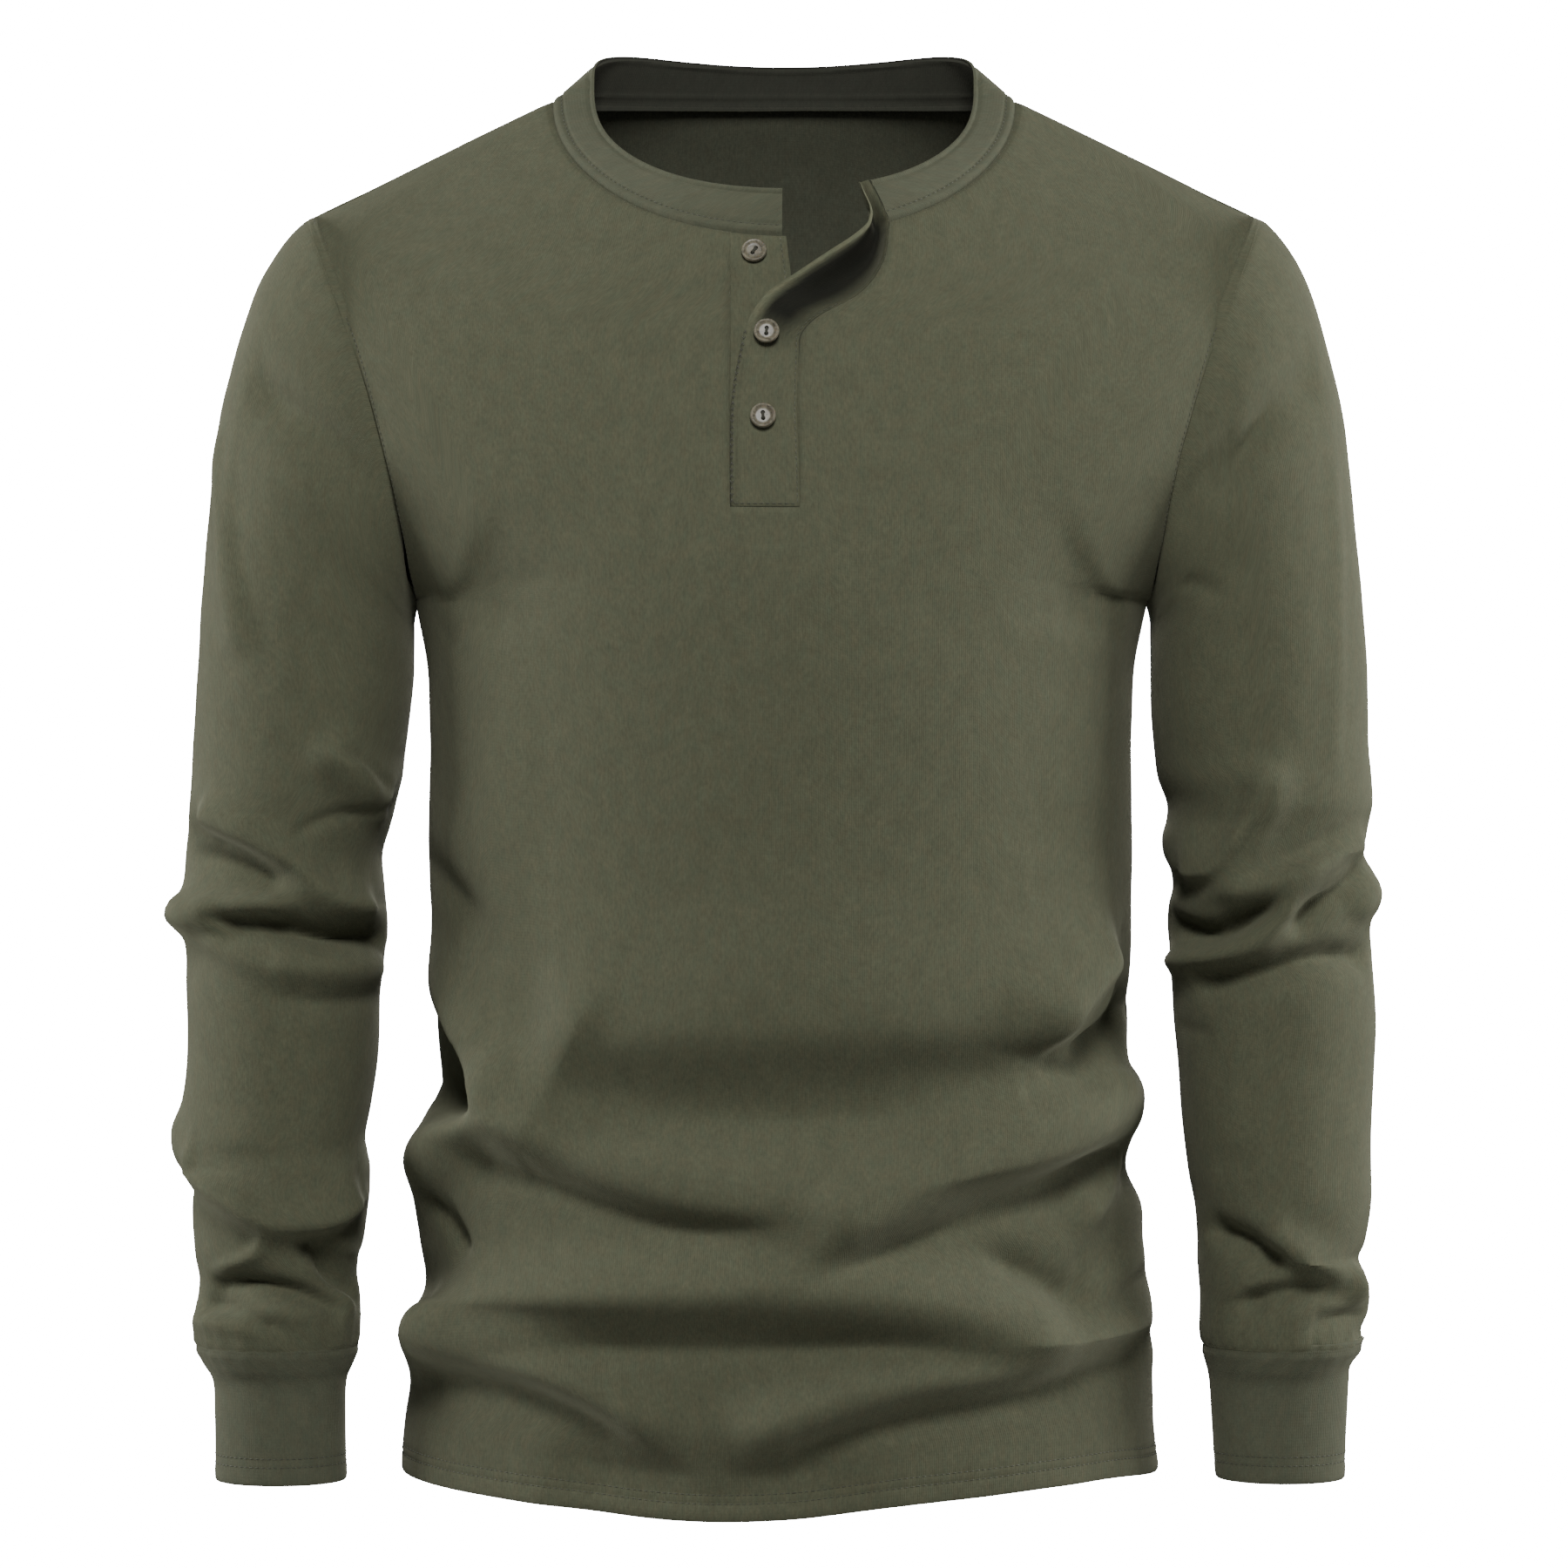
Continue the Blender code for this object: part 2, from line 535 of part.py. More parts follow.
def sleeve_points(rings, folds, side, columns, rows):
    inner = -90.0 * side
    q = np.linspace(inner - 360, inner, columns + 1)[None, :] + np.zeros((rows + 1, 1))
    last = len(rings) - 2
    ring = ring_spacing(rings, rows)[::-1, None] + np.zeros((1, columns + 1))
    points, middle = ring_tube(rings, q, ring)
    # the first rings follow the armhole seam's bow toward the body
    facing = np.cos(np.radians(q))
    bow = np.where(facing > 0, armhole_bow[side], back_bow) * facing**2
    points[..., 0] -= side * bow * np.clip(1 - ring / bow_rings, 0, 1)
    relief = round_relief(q, middle, arm_fold_paths(folds), arm_girth_per_degree)
    quiet = np.clip(ring / 4, 0, 1) * np.clip((last - ring) / 1.5, 0, 1)
    return points + normals_of(points, tube=True) * (relief * quiet)[..., None]


def ring_spacing(rings, rows):
    # Ring places that are even in length down the middle of the sleeve.
    names, values = rows_of(rings)
    outer = values[:, 2:4] if values[0, 3] > values[0, 1] else values[:, 0:2]
    inner = values[:, 0:2] if values[0, 3] > values[0, 1] else values[:, 2:4]
    path = outer * 0.6 + inner * 0.4
    run = np.concatenate([[0], np.cumsum(np.linalg.norm(np.diff(path, axis=0), axis=1))])
    return np.interp(np.linspace(0, run[-1], rows + 1), run, np.arange(len(run)))


def trim(points, gap, edge):
    # Pull the low or the top edge of a grid of points back by a gap, along the cloth.
    points = points.copy()
    last, next_to_last = (0, 1) if edge == "low" else (-1, -2)
    run = points[next_to_last] - points[last]
    run /= np.maximum(np.linalg.norm(run, axis=-1, keepdims=True), 1e-9)
    points[last] += run * gap
    return points


def cloth_material(name, colour, roughness=0.9):
    material = bpy.data.materials.new(name)
    material.use_nodes = True
    shader = material.node_tree.nodes["Principled BSDF"]
    shader.inputs["Base Color"].default_value = (*colour, 1)
    shader.inputs["Roughness"].default_value = roughness
    shader.inputs["Metallic"].default_value = 0.0
    return material


def add_object(name, mesh, material):
    piece = bpy.data.objects.new(name, mesh)
    collection.objects.link(piece)
    mesh.materials.append(material)
    mesh.shade_smooth()
    return piece


def cloth_piece(name, points, material, thickness, tube=False, cut=None):
    # A grid bent to the points, its tube seam closed or its cut faces removed, made solid inward.
    rows, columns = points.shape[:2]
    bm = bmesh.new()
    bmesh.ops.create_grid(bm, x_segments=columns - 1, y_segments=rows - 1, size=1)
    bm.verts.ensure_lookup_table()
    for vert, place in zip(bm.verts, points.reshape(-1, 3)):
        vert.co = Vector(place * MM)
    if cut:
        bm.faces.ensure_lookup_table()
        gone = [f for k, f in enumerate(bm.faces) if cut(k // (columns - 1), k % (columns - 1))]
        bmesh.ops.delete(bm, geom=gone, context="FACES")
    if tube:
        bmesh.ops.remove_doubles(bm, verts=bm.verts, dist=1e-5)
    mesh = bpy.data.meshes.new(name)
    bm.to_mesh(mesh)
    bm.free()
    piece = add_object(name, mesh, material)
    solid = piece.modifiers.new("wall", "SOLIDIFY")
    solid.thickness = thickness * MM
    solid.offset = -1
    solid.use_even_offset = True
    return piece


def on_own_side(points, grid, facing):
    # A panel stays on its own side of the side seams and shoulder seams by half a gap, and a
    # little more on the shoulder, where the two walls lean together.
    apart = np.where(grid[..., 1] > -shoulder_drop - 1, shoulder_gap / 2, side_gap / 2)
    edge = np.abs(grid[..., 0]) > 0.999
    y = points[..., 1] * facing
    points[..., 1] = np.where(edge, np.maximum(y, apart), y) * facing
    return points


def front_points():
    grid = front_grid()
    points = on_own_side(body_points(grid, "front"), grid, -1)
    return trim(points, seam_gap / 2, "top")


def make_front(points, material):
    foot = rows_below_underarm() + slit_row
    first = front_columns[0] + front_columns[1]
    last = first + front_columns[2]
    return cloth_piece("front_panel", points, material, wall,
                       cut=lambda row, col: row >= foot and first <= col < last)


def make_back(material):
    grid = back_grid()[:, ::-1]
    points = on_own_side(body_points(grid, "back"), grid, 1)
    return cloth_piece("back_panel", trim(points, seam_gap / 2, "top"), material, wall)


def make_sleeve(name, rings, folds, side, material):
    points = sleeve_points(rings, folds, side, sleeve_columns, sleeve_rows)
    return cloth_piece(name, trim(points, armhole_gap, "top"), material, wall, tube=True)


def make_cuff(name, rings, side, material):
    q = np.linspace(-90.0 * side - 360, -90.0 * side, sleeve_columns + 1)[None, :]
    t = np.linspace(len(rings) - 2, 0, len(rings) - 1)[:, None]
    points = ring_tube(rings, q + 0 * t, t + 0 * q)[0]
    return cloth_piece(name, points, material, wall, tube=True)


def band_surface(q, h):
    # Neckband: h goes from the neck seam, 0, to the top edge, 1.
    swing, out = np.sin(np.radians(q)), np.cos(np.radians(q))
    front, back = np.clip(out, 0, 1), np.clip(-out, 0, 1)
    low = np.stack([neck_half_width * swing,
                    -neck_front_depth * front + neck_back_depth * back,
                    -neck_front_drop * front + neck_back_rise * back], axis=-1)
    top = np.stack([(98 + 3 * back) * swing, -80 * front + 73 * back,
                    9 - 64 * front**0.8 + 24 * np.sqrt(back) - 5 * back**2], axis=-1)
    bulge = np.stack([0.04 * neck_half_width * swing, -3.0 * out, 0 * q], axis=-1)
    return low + (top - low) * h[..., None] + bulge * (h * (1 - h))[..., None]


def make_neckband(material):
    # Its columns stand over those of the panels, so that both follow the same seam line.
    right = np.degrees(np.arcsin(band_end_right / neck_half_width))
    left = 360 + np.degrees(np.arcsin(placket_left / neck_half_width))
    end = 360 + np.degrees(np.arcsin(band_end_left / neck_half_width))
    counts = (front_columns[3], back_columns[1], front_columns[1], 2)
    q = column_lines((right, 90, 270, left, end), counts)[None, :]
    h = np.array(band_rows)[:, None]
    q, h = q + 0 * h, h + 0 * q
    points = trim(band_surface(q, h), seam_gap / 2, "low")
    return cloth_piece("neckband", points, material, band_wall)


def front_at(x, z):
    # The plain front surface at a place in the front view, and above the neck seam the neckband.
    q = np.array([np.degrees(np.arcsin(x / neck_half_width))])
    low, top = band_surface(q, np.array([0.0]))[0], band_surface(q, np.array([1.0]))[0]
    if z > low[2]:
        return band_surface(q, np.array([(z - low[2]) / (top[2] - low[2])]))[0]
    zeta = np.array([float(z)])
    for _ in range(30):
        point = body_surface(s_at(x, zeta), zeta, "front")
        zeta = np.minimum(zeta + (z - point[..., 2]) * 0.8, 0.0)
    return body_surface(s_at(x, zeta), zeta, "front")[0]


def s_at(x, zeta):
    middle, half, depth, turn = body_section(zeta, "front")
    tilt = np.clip(1 + zeta / underarm_drop, 0, 1)
    return np.arcsin(np.clip((x - middle * (1 - tilt)) * np.sin(turn) / half, -1, 1)) / turn


def out_of_front(x, z):
    step = 0.5
    across = front_at(x + step, z) - front_at(x - step, z)
    up = front_at(x, z + step) - front_at(x, z - step)
    normal = np.cross(across, up)
    return normal / np.linalg.norm(normal)


def seam_side(front):
    # The upper placket's sewn edge: up the slit edge of the front panel, then up the end of the
    # neckband, with the height along the panel of each point.
    edge = front[rows_below_underarm() + slit_row:, sum(front_columns[:3])]
    rise = middle_rise(np.linspace(slit_row / top_rows, 1, len(edge)))
    zeta = -underarm_drop * (1 - rise)
    q = np.full(3, np.degrees(np.arcsin(band_end_right / neck_half_width)))
    band = band_surface(q, np.array(band_rows[1:]))
    points = np.concatenate([edge, band])
    zeta = np.concatenate([zeta, band_zetas])
    half = np.arange(0, len(points) - 0.5, 0.5)
    whole = np.arange(len(points))
    lines = [np.interp(half, whole, points[:, k]) for k in range(3)]
    return np.stack(lines, axis=-1), np.interp(half, whole, zeta)


def make_upper_placket(front, material):
    seam, zetas = seam_side(front)
    points = []
    for place, zeta in zip(seam, zetas):
        at = np.array([zeta])
        free_x, free_z, dip, proud, gap = (
            float(column(upper_placket_rows, "zeta", key, at)[0])
            for key in ("free_x", "free_z", "dip", "proud", "gap"))
        seam_x, seam_z = place[0] - gap, max(place[2], placket_foot)
        out = out_of_front((seam_x + free_x) / 2, (seam_z + free_z) / 2)
        shift = place - front_at(place[0], place[2])
        line = []
        for t in np.linspace(0, 1, 6):
            flat = front_at(free_x + (seam_x - free_x) * t, free_z + (seam_z - free_z) * t)
            hollow = 4 * t * (1 - t) * -dip
            line.append(flat + shift * t**2 + out * (hollow + proud * (1 - t)**2))
        points.append(line)
    return cloth_piece("placket_upper", np.array(points), material, wall)


def make_under_placket(material):
    points = []
    for share in np.linspace(0, 1, 16):
        line = []
        for across in np.linspace(0, 1, 4):
            z = under_placket_foot * (1 - share) - neck_front_drop * share
            free = float(column(under_placket_free_edge, "z", "x", np.array([z]))[0])
            x = placket_left + seam_gap + (free - placket_left - seam_gap) * across
            top = -neck_front_drop * np.sqrt(1 - (x / neck_half_width)**2) - 2 * seam_gap
            z = under_placket_foot + (top - under_placket_foot) * share
            hidden = hidden_depth * np.clip((-z + under_placket_dives) / 10, 0, 1)
            line.append(front_at(x, z) - out_of_front(x, z) * hidden)
        points.append(line)
    return cloth_piece("placket_under", np.array(points), material, wall)


def button_mesh(name):
    # A turned button with a raised rim, and two thread holes cut through.
    profile = ((0.0, 1.5), (3.6, 1.5), (4.6, 2.0), (5.2, 2.6), (5.9, 2.5), (6.35, 1.7), (6.2, 0.7),
               (5.2, 0.0), (0.0, 0.0))
    bm = bmesh.new()
    verts = [bm.verts.new((r * MM, 0, z * MM)) for r, z in profile]
    edges = [bm.edges.new(pair) for pair in zip(verts, verts[1:])]
    bmesh.ops.spin(bm, geom=verts + edges, cent=(0, 0, 0), axis=(0, 0, 1), angle=2 * np.pi,
                   steps=18, use_merge=True)
    bmesh.ops.remove_doubles(bm, verts=bm.verts, dist=2e-5)
    bmesh.ops.recalc_face_normals(bm, faces=bm.faces)
    mesh = bpy.data.meshes.new(name)
    bm.to_mesh(mesh)
    bm.free()
    return mesh


def hole_cutter(name, mesh_side, place):
    bm = bmesh.new()
    bmesh.ops.create_cone(bm, cap_ends=True, segments=8, radius1=hole_radius * MM,
                          radius2=hole_radius * MM, depth=10 * MM)
    bmesh.ops.translate(bm, verts=bm.verts, vec=(0, mesh_side * hole_spread / 2 * MM, 0))
    mesh = bpy.data.meshes.new(name)
    bm.to_mesh(mesh)
    bm.free()
    cutter = bpy.data.objects.new(name, mesh)
    cutter.matrix_world = place
    cutter.hide_render = True
    cutter.display_type = "WIRE"
    cutters.objects.link(cutter)
    return cutter


def make_buttons(material):
    for k, (x, z) in enumerate(button_places[1:], start=1):
        out = out_of_front(x, z)
        stand = button_stands[k - 1]
        seat = front_at(x, z) + out * stand
        face = Vector(out)
        up = (Vector((0, 0, 1)) - face * face.z).normalized()
        turn = Matrix((up.cross(face), up, face)).transposed().to_4x4()
        place = Matrix.Translation(Vector(seat * MM)) @ turn
        piece = add_object(f"button_{k}", button_mesh(f"button_{k}"), material)
        piece.matrix_world = place
        piece.data.set_sharp_from_angle(angle=0.7)
        for side in (-1, 1):
            cut = piece.modifiers.new("thread hole", "BOOLEAN")
            cut.operation = "DIFFERENCE"
            cut.solver = "EXACT"
            cut.object = hole_cutter(f"thread_hole_{k}_{side}", side, place)


for old in list(bpy.data.objects):
    bpy.data.objects.remove(old, do_unlink=True)
collection = bpy.data.collections.new("henley_t_shirt")
cutters = bpy.data.collections.new("cutters")
bpy.context.scene.collection.children.link(collection)
bpy.context.scene.collection.children.link(cutters)

jersey = cloth_material("olive_jersey", olive)
rib = cloth_material("olive_rib", olive_deep)
horn_resin = cloth_material("horn_resin", horn, 0.45)

front = front_points()
make_front(front, jersey)
make_back(jersey)
make_sleeve("sleeve_right", sleeve_right_rings, sleeve_right_folds, -1, jersey)
make_sleeve("sleeve_left", sleeve_left_rings, sleeve_left_folds, 1, jersey)
make_cuff("cuff_right", cuff_right_rings, -1, rib)
make_cuff("cuff_left", cuff_left_rings, 1, rib)
make_neckband(rib)
make_upper_placket(front, jersey)
make_under_placket(jersey)
make_buttons(horn_resin)
bpy.context.view_layer.update()
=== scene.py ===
import bpy
import bmesh
import numpy as np
from mathutils import Matrix, Vector


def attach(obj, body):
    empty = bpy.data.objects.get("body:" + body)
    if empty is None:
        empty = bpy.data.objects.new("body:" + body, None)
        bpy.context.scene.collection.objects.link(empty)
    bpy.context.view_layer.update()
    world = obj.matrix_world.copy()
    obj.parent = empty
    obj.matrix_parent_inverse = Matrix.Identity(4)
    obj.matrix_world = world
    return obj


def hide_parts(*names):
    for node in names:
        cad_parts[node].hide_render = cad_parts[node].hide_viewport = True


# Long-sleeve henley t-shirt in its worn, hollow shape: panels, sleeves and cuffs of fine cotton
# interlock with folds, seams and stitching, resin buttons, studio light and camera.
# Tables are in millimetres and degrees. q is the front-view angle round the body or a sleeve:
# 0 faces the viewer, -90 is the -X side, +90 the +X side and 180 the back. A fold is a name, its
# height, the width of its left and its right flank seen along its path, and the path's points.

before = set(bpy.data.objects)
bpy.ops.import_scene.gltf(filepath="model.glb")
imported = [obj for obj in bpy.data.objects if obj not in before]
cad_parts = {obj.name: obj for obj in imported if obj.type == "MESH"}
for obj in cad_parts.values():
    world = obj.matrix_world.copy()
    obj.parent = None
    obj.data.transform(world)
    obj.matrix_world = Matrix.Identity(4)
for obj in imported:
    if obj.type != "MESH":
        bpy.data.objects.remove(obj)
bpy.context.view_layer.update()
mm = 0.001
print("frame loaded:", len(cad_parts), "nodes")


def throughRows(t, step, before, after, slopeBefore, slopeAfter):
    # A smooth curve from one row to the next, t from 0 to 1, step apart.
    return ((2 * t**3 - 3 * t**2 + 1) * before + (t**3 - 2 * t**2 + t) * step * slopeBefore
            + (3 * t**2 - 2 * t**3) * after + (t**3 - t**2) * step * slopeAfter)


def readColumn(table, key, want, at):
    # A column read at any place along another column.
    names, rows = table[0], np.array(table[1:], dtype=float)
    x, y = rows[:, names.index(key)], rows[:, names.index(want)]
    slope = np.gradient(y, x)
    at = np.clip(at, x[0], x[-1])
    i = np.clip(np.searchsorted(x, at) - 1, 0, len(x) - 2)
    step = x[i + 1] - x[i]
    return throughRows((at - x[i]) / step, step, y[i], y[i + 1], slope[i], slope[i + 1])


def smoothPath(points, steps=6):
    points = np.array(points, dtype=float)
    if len(points) < 3:
        return points
    fine = np.linspace(0, len(points) - 1, (len(points) - 1) * steps + 1)
    slope = np.gradient(points, axis=0)
    i = np.clip(fine.astype(int), 0, len(points) - 2)
    return throughRows((fine - i)[:, None], 1, points[i], points[i + 1], slope[i], slope[i + 1])


def rise(value, start, end):
    # From 0 at start to 1 at end, and level outside.
    return np.clip((value - start) / (end - start), 0, 1)


def unit(vectors):
    return vectors / np.maximum(np.linalg.norm(vectors, axis=-1, keepdims=True), 1e-9)


foldShape = {
    "reach": 3.2,                            # in widths, past which a fold is nothing
    "endShare": 0.15, "fadeShare": 0.3,      # height left at an end, and length of the way there
    "sharpShare": 0.4, "sharpness": 1.7,     # of a trough's bottom
}


def foldRelief(around, height, folds, fadeLength):
    # Height of all folds at places given in mm round the cloth and mm up. A ridge is round, and
    # a trough is a little sharper at its bottom, as creases in jersey are.
    place = np.stack([around, height], axis=-1)
    relief = np.zeros(around.shape)
    for path, crest, left, right in folds:
        reach = foldShape["reach"] * max(left, right)
        low, high = path.min(axis=0) - reach, path.max(axis=0) + reach
        near = np.where(np.all((place > low) & (place < high), axis=-1))
        if not len(near[0]):
            continue
        spot = place[near]
        run = path[1:] - path[:-1]
        length = np.maximum(np.linalg.norm(run, axis=1), 1e-6)
        start = np.concatenate([[0], np.cumsum(length)[:-1]])
        best = np.full(len(spot), 1e9)
        side, along = np.zeros(len(spot)), np.zeros(len(spot))
        for k in range(len(run)):
            away = spot - path[k]
            t = np.clip((away @ run[k]) / length[k]**2, 0, 1)
            dist = np.linalg.norm(away - t[:, None] * run[k], axis=-1)
            closer = dist < best
            best = np.where(closer, dist, best)
            side = np.where(closer, run[k][0] * away[:, 1] - run[k][1] * away[:, 0], side)
            along = np.where(closer, start[k] + t * length[k], along)
        total = length.sum()
        fadeEnd = min(foldShape["fadeShare"] * total, fadeLength)
        fade = rise(np.minimum(along, total - along), 0, fadeEnd)
        taper = foldShape["endShare"] + (1 - foldShape["endShare"]) * fade**2 * (3 - 2 * fade)
        far = best / np.where(side > 0, left, right)
        shape = np.exp(-far**2)
        if crest < 0:
            sharp = np.exp(-foldShape["sharpness"] * (np.sqrt(far**2 + 0.04) - 0.2))
            shape += foldShape["sharpShare"] * (sharp - shape)
        relief[near] += crest * taper * shape
    return relief


def roundRelief(q, height, paths, perDegree, fadeLength):
    # Folds repeat every full turn, so each place is also read one turn back and one turn on.
    q = (np.round(q, 6) + 180) % 360 - 180
    return sum(foldRelief((q + turn) * perDegree, height, paths, fadeLength)
               for turn in (-360, 0, 360))


def unevenness(points, size):
    # Slow swells and dents that no worn cloth is free of, by place.
    x, y, z = points[..., 0], points[..., 1], points[..., 2]
    swell = (np.sin(x / 17.0 + 1.3 * np.sin(z / 41.0)) * np.sin(z / 23.0 + 0.7)
             + np.sin(y / 15.0 + z / 31.0 + 2.1) * np.sin(x / 29.0 - z / 37.0)
             + 0.6 * np.sin(x / 8.3 + z / 19.0) * np.sin(z / 9.1 - y / 12.0 + 0.4))
    return size * swell


def gridNormals(points, tube=False):
    across = np.gradient(points, axis=1)
    if tube:
        across[:, 0] = across[:, -1] = (points[:, 1] - points[:, -2]) / 2
    return unit(np.cross(across, np.gradient(points, axis=0)))


def edgeWays(points):
    # How far each point is along the cloth from the edges of its grid, of which start and end
    # are the two sides.
    up = np.linalg.norm(np.diff(points, axis=0), axis=-1)
    across = np.linalg.norm(np.diff(points, axis=1), axis=-1)
    low = np.concatenate([np.zeros((1, points.shape[1])), np.cumsum(up, axis=0)])
    start = np.concatenate([np.zeros((points.shape[0], 1)), np.cumsum(across, axis=1)], axis=1)
    end = start[:, -1:] - start
    return {"low": low, "top": low[-1:] - low, "start": start, "end": end,
            "side": np.minimum(start, end)}


def dent(way, place, width):
    return np.exp(-((way - place) / width)**2)


def pressedLines(ways, lines):
    # Lines along the edges: which edge, how far from it, how wide and how high.
    return sum(high * dent(ways[edge], away, wide) for edge, away, wide, high in lines)


closeLines = (0.16, 0.36, 0.62)   # shares of a grid step at which a sewn edge has lines of its own


def linesBetween(a, b, count, seamAtStart=False, seamAtEnd=False):
    # Even grid lines, with a few more close to an edge that is sewn. The last one is left out.
    even = np.linspace(a, b, count + 1)
    close = np.array(closeLines)
    extra = []
    if seamAtStart:
        extra.append(a + close * (even[1] - a))
    if seamAtEnd:
        extra.append(b - close * (b - even[-2]))
    return np.sort(np.concatenate([even[:-1]] + extra)) if a < b else even[:-1]


